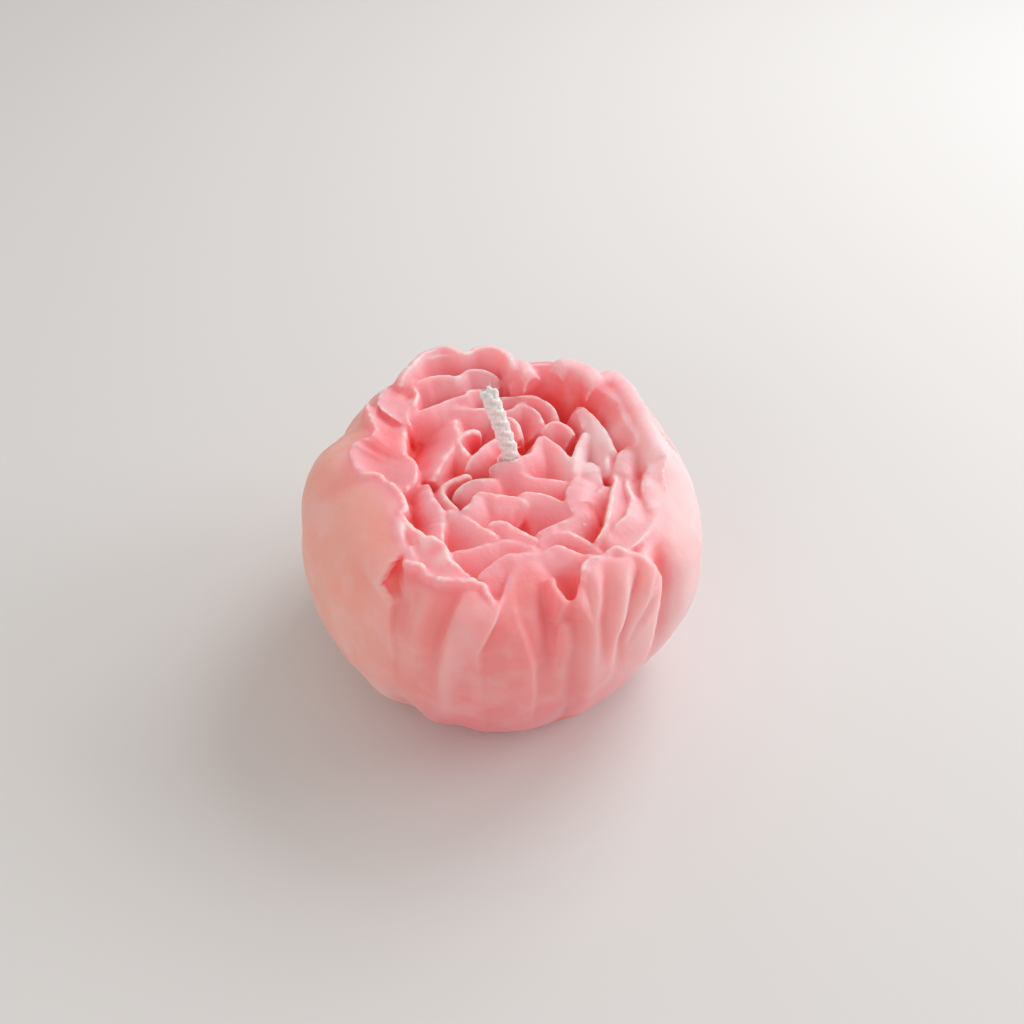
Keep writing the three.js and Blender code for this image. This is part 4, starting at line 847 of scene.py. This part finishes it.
def mixed(tree, factor, under, over):
    """The colour under, with the colour over laid on it by the factor."""
    mix = tree.nodes.new("ShaderNodeMix")
    mix.data_type = "RGBA"
    tree.links.new(factor, mix.inputs["Factor"])
    for socket, value in ((mix.inputs[6], under), (mix.inputs[7], over)):
        if isinstance(value, tuple):
            socket.default_value = (*value, 1)
        else:
            tree.links.new(value, socket)
    return mix.outputs[2]


def scaled(tree, source, start, full):
    """A value mapped to 0 at the start and 1 where it is full."""
    node = tree.nodes.new("ShaderNodeMapRange")
    node.interpolation_type = "SMOOTHSTEP"
    node.inputs["From Min"].default_value = start
    node.inputs["From Max"].default_value = full
    tree.links.new(source, node.inputs["Value"])
    return node.outputs["Result"]


def product(tree, first, second):
    node = tree.nodes.new("ShaderNodeMath")
    node.operation = "MULTIPLY"
    for socket, value in zip(node.inputs, (first, second)):
        if isinstance(value, float):
            socket.default_value = value
        else:
            tree.links.new(value, socket)
    return node.outputs[0]


def stored(tree, name):
    node = tree.nodes.new("ShaderNodeAttribute")
    node.attribute_name = name
    return node.outputs["Fac"]


def in_object(tree, kind):
    """A node that is fed the object's own coordinates."""
    node = tree.nodes.new(kind)
    place = tree.nodes.new("ShaderNodeTexCoord")
    tree.links.new(place.outputs["Object"], node.inputs["Vector"])
    return node


def grained(tree, scale, detail):
    """A noise pattern in the object's own coordinates."""
    node = in_object(tree, "ShaderNodeTexNoise")
    node.inputs["Scale"].default_value = scale
    node.inputs["Detail"].default_value = detail
    return node.outputs["Fac"]


def tinted(tree, colour, tints, sources):
    for source, start, full, share, tint in tints:
        factor = product(tree, scaled(tree, sources[source], start, full), share)
        colour = mixed(tree, factor, colour, tint)
    return colour


def speckled(tree, colour):
    cells = in_object(tree, "ShaderNodeTexVoronoi")
    cells.inputs["Scale"].default_value = SPECK_CELLS
    rare = scaled(tree, cells.outputs["Color"], *SPECK_CHANCE)
    dot = scaled(tree, cells.outputs["Distance"], *SPECK_EDGE)
    return mixed(tree, product(tree, product(tree, rare, dot), SPECK_SHARE), colour, SPECK)


def bumped(tree, shader, height, strength, distance):
    bump = tree.nodes.new("ShaderNodeBump")
    bump.inputs["Strength"].default_value = strength
    bump.inputs["Distance"].default_value = distance
    tree.links.new(height, bump.inputs["Height"])
    tree.links.new(bump.outputs["Normal"], shader.inputs["Normal"])


def rough_by(tree, shader, source, low, high):
    """Roughness from low, where the source is 0, to high, where it is 1."""
    node = tree.nodes.new("ShaderNodeMapRange")
    node.inputs["To Min"].default_value = low
    node.inputs["To Max"].default_value = high
    tree.links.new(source, node.inputs["Value"])
    tree.links.new(node.outputs["Result"], shader.inputs["Roughness"])


def scattering(shader, weight, radius, scale):
    """The share of light that goes under the surface, and how far red, green and blue go, in scales."""
    shader.inputs["Subsurface Weight"].default_value = weight
    shader.inputs["Subsurface Radius"].default_value = radius
    shader.inputs["Subsurface Scale"].default_value = scale


def wax_material():
    mat, tree, shader = new_material("pink_wax")
    place = in_object(tree, "ShaderNodeSeparateXYZ")
    sources = {
        "x": place.outputs["X"],
        "z": place.outputs["Z"],
        "valley_shade": stored(tree, "valley_shade"),
        "fold_shading": stored(tree, "fold_shading"),
        "lip": stored(tree, "lip"),
        "mottle": grained(tree, scale=190.0, detail=4.0),
        "blotch": grained(tree, scale=75.0, detail=3.0),
    }
    petals = tinted(tree, BLUSH, PETAL_TINTS, sources)
    wall = tinted(tree, ROSE, WALL_TINTS, sources)
    colour = mixed(tree, stored(tree, "outside"), petals, wall)
    # Painted light on the lit and glowing spots.
    colour = mixed(tree, product(tree, stored(tree, "painted_light"), PAINTED_LIGHT_SHARE), colour, PALE)
    colour = speckled(tree, tinted(tree, colour, SKIN_AND_LIGHT_TINTS, sources))
    tree.links.new(colour, shader.inputs["Base Color"])
    bumped(tree, shader, grained(tree, scale=1400.0, detail=4.0), strength=0.35, distance=0.0002)
    rough_by(tree, shader, sources["mottle"], low=0.36, high=0.6)
    scattering(shader, weight=1.0, radius=(1.0, 0.2, 0.17), scale=0.006)
    return mat


def cotton_material():
    mat, tree, shader = new_material("cotton")
    waxed = grained(tree, scale=420.0, detail=2.0)
    colour = mixed(tree, scaled(tree, waxed, start=0.4, full=0.7), COTTON, SOAKED)
    tree.links.new(colour, shader.inputs["Base Color"])
    bumped(tree, shader, grained(tree, scale=4200.0, detail=4.0), strength=0.6, distance=0.00008)
    rough_by(tree, shader, waxed, low=0.95, high=0.6)
    scattering(shader, weight=0.4, radius=(1.0, 0.8, 0.7), scale=0.0006)
    return mat


def paper_material():
    mat, _, shader = new_material("paper")
    shader.inputs["Base Color"].default_value = PAPER
    shader.inputs["Roughness"].default_value = 0.8
    return mat


bloom.data.materials.append(wax_material())


# ---- the wick
WICK_BRAID = 0.74
STRAND_RADIUS = 0.56
STRANDS_EACH_WAY = 4
STRAND_SIDES = 14
STRAND_YARNS = 3
YARN_RISE = 0.14
YARN_TWIST = 3
BRAID_PITCH = 9.0
WEAVE = 0.12
STRAND_END = (-0.25, 0.2)  # how much shorter or longer than the wick a strand is
STRAND_POINT = 0.15
# The wick is coarse where the wax hides it, below the height SHOWN_FROM.
WICK_SAMPLES = 2000
HIDDEN_STEP = 0.9
SHOWN_STEP = 0.14
SHOWN_FROM = 37.0
WICK_SEED = 7

FIBRES = 90
FIBRE_RADIUS = 0.028
FIBRE_TAPER = 0.6
FIBRE_SIDES = 5
FIBRE_POINTS = 7
TOP_FIBRES = 0.6  # share of the fibres that stand at the top
TOP_SPREAD = 0.8
SIDE_FIBRES_FROM = 1.5  # how far above SHOWN_FROM the others start
FIBRE_RISE = (0.2, 1.2)
FIBRE_SPREAD = (0.3, 1.0)
FIBRE_STRAY = 0.2
TOP_REACH = (0.4, 1.2)
SIDE_REACH = (0.4, 1.1)
FIBRE_CURL = 0.35


def tube_rings(path, radii, turns=0.0, sides=STRAND_SIDES, yarns=0):
    """Rings of points round a path, with lengthwise yarns that turn with it."""
    heading, across = directions(path)
    across /= np.linalg.norm(across, axis=1)[:, None]
    over = np.cross(heading, across)
    around = np.linspace(0, 2 * math.pi, sides, endpoint=False)[None]
    wide = radii[:, None] * np.ones_like(around)
    if yarns:
        wide = wide * (1 + YARN_RISE * np.cos(yarns * (around + np.reshape(turns, (-1, 1)))))
    circle = np.cos(around)[..., None] * across[:, None] + np.sin(around)[..., None] * over[:, None]
    return path[:, None] + wide[..., None] * circle


def directions(path):
    """The heading of a path at each of its points, and a direction across it."""
    heading = np.gradient(path, axis=0)
    heading /= np.linalg.norm(heading, axis=1)[:, None]
    return heading, np.cross(heading, (0.0, 1.0, 0.0))


def strand(rng, way, number, core, spots):
    """One strand of the braid, which winds its way round the core and over and under the others."""
    heading, across = directions(core)
    over = np.cross(heading, across)
    turn = way * 2 * math.pi * spots / BRAID_PITCH + 2 * math.pi * number / STRANDS_EACH_WAY
    weave = way * np.cos(2 * STRANDS_EACH_WAY * math.pi * spots / BRAID_PITCH)
    out = (WICK_BRAID + WEAVE * weave)[:, None]
    path = core + out * (np.cos(turn)[:, None] * across + np.sin(turn)[:, None] * over)
    path[-1] += heading[-1] * rng.uniform(*STRAND_END)
    rings = tube_rings(path, np.full(len(path), STRAND_RADIUS), way * YARN_TWIST * turn, yarns=STRAND_YARNS)
    return ringed(rings, path[0], path[-1] + heading[-1] * STRAND_POINT)


def build_wick():
    rng = np.random.default_rng(WICK_SEED)
    line, length = spline(WICK_PATH, WICK_SAMPLES)
    run = np.linspace(0, length, len(line))
    start = np.interp(SHOWN_FROM, line[:, 2], run)
    hidden = np.arange(0, start, HIDDEN_STEP)
    spots = np.concatenate([hidden, np.arange(start, length, SHOWN_STEP), [length]])
    core = points_at(line, run, spots)
    heading, across = directions(core)
    over = np.cross(heading, across)
    parts = [ringed(tube_rings(core, np.full(len(core), WICK_BRAID)), core[0], core[-1])]
    for way in (-1, 1):
        for number in range(STRANDS_EACH_WAY):
            parts.append(strand(rng, way, number, core, spots))
    t = np.linspace(0, 1, FIBRE_POINTS)[:, None]
    for _ in range(FIBRES):
        top = rng.random() < TOP_FIBRES
        at = length - rng.exponential(TOP_SPREAD) if top else rng.uniform(start + SIDE_FIBRES_FROM, length)
        at = max(at, start)
        turn = rng.uniform(0, 2 * math.pi)
        k = min(np.searchsorted(spots, at), len(spots) - 1)
        outward = math.cos(turn) * across[k] + math.sin(turn) * over[k]
        root = points_at(line, run, at) + outward * WICK_BRAID
        lean = heading[k] * rng.uniform(*FIBRE_RISE) + outward * rng.uniform(*FIBRE_SPREAD)
        lean = lean + rng.normal(0, FIBRE_STRAY, 3)
        reach_out = rng.uniform(*(TOP_REACH if top else SIDE_REACH))
        curl = rng.normal(0, FIBRE_CURL, 3)
        path = root + lean * reach_out * t + curl * t ** 2
        rings = tube_rings(path, FIBRE_RADIUS * (1 - FIBRE_TAPER * t[:, 0]), sides=FIBRE_SIDES)
        parts.append(ringed(rings, path[0], path[-1]))
    wick = mesh_object("braided_wick", parts)
    write_points(wick.data, read_points(wick.data) - ORIGIN)
    wick.data.shade_smooth()
    wick.data.materials.append(cotton_material())
    return wick


wick = build_wick()
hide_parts("wax_body")
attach(bloom, "root")
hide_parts("wick")
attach(wick, "root")

# ---- floor, camera and light
FLOOR_HALF = 3.0
# The camera looks down on the bloom from in front.
EYE = Vector((0.0021, -0.1435, 0.1666))
PITCH = math.radians(44)
FIELD = math.radians(46)
SENSOR = 36
NEAREST = 0.005
# Each light: name, place, target, size across, watts and colour.
LIGHTS = [
    ("window", (0.60, 0.10, 0.25), (0, 0, 0.02), 0.4, 1.5, (0.97, 0.98, 1.0)),
    ("card", (-0.30, -0.42, 0.24), (0, 0, 0.03), 0.4, 0.5, (1.0, 0.97, 0.94)),
    ("lamp", (0.24, 0.27, 0.36), (0, 0, 0.02), 0.3, 1.05, (0.97, 0.98, 1.0)),
]
ROOM_COLOUR = (1.0, 0.95, 0.90, 1)
ROOM_STRENGTH = 0.56


def build_floor():
    corners = [(x * FLOOR_HALF, y * FLOOR_HALF, 0) for x, y in ((-1, -1), (1, -1), (1, 1), (-1, 1))]
    floor = new_object("floor", corners, [(0, 1, 2, 3)])
    floor.data.materials.append(paper_material())
    return floor


def place_camera():
    data = bpy.data.cameras.new("camera")
    data.sensor_width = SENSOR
    data.lens = SENSOR / 2 / math.tan(FIELD / 2)
    data.clip_start = NEAREST
    camera = bpy.data.objects.new("camera", data)
    bpy.context.scene.collection.objects.link(camera)
    camera.location = EYE - Vector(ORIGIN.tolist())
    camera.rotation_euler = (math.pi / 2 - PITCH, 0, 0)
    bpy.context.scene.camera = camera


def area_light(name, place, target, size, watts, colour):
    data = bpy.data.lights.new(name, "AREA")
    data.shape = "DISK"
    data.size = size
    data.energy = watts
    data.color = colour
    light = bpy.data.objects.new(name, data)
    light.location = place
    light.rotation_euler = (Vector(target) - Vector(place)).to_track_quat("-Z", "Y").to_euler()
    bpy.context.scene.collection.objects.link(light)


def light_room():
    for light in LIGHTS:
        area_light(*light)
    world = bpy.data.worlds.new("room")
    bpy.context.scene.world = world
    world.use_nodes = True
    background = world.node_tree.nodes["Background"]
    background.inputs["Color"].default_value = ROOM_COLOUR
    background.inputs["Strength"].default_value = ROOM_STRENGTH


floor = build_floor()
place_camera()
light_room()
bpy.context.scene.view_settings.view_transform = "Standard"
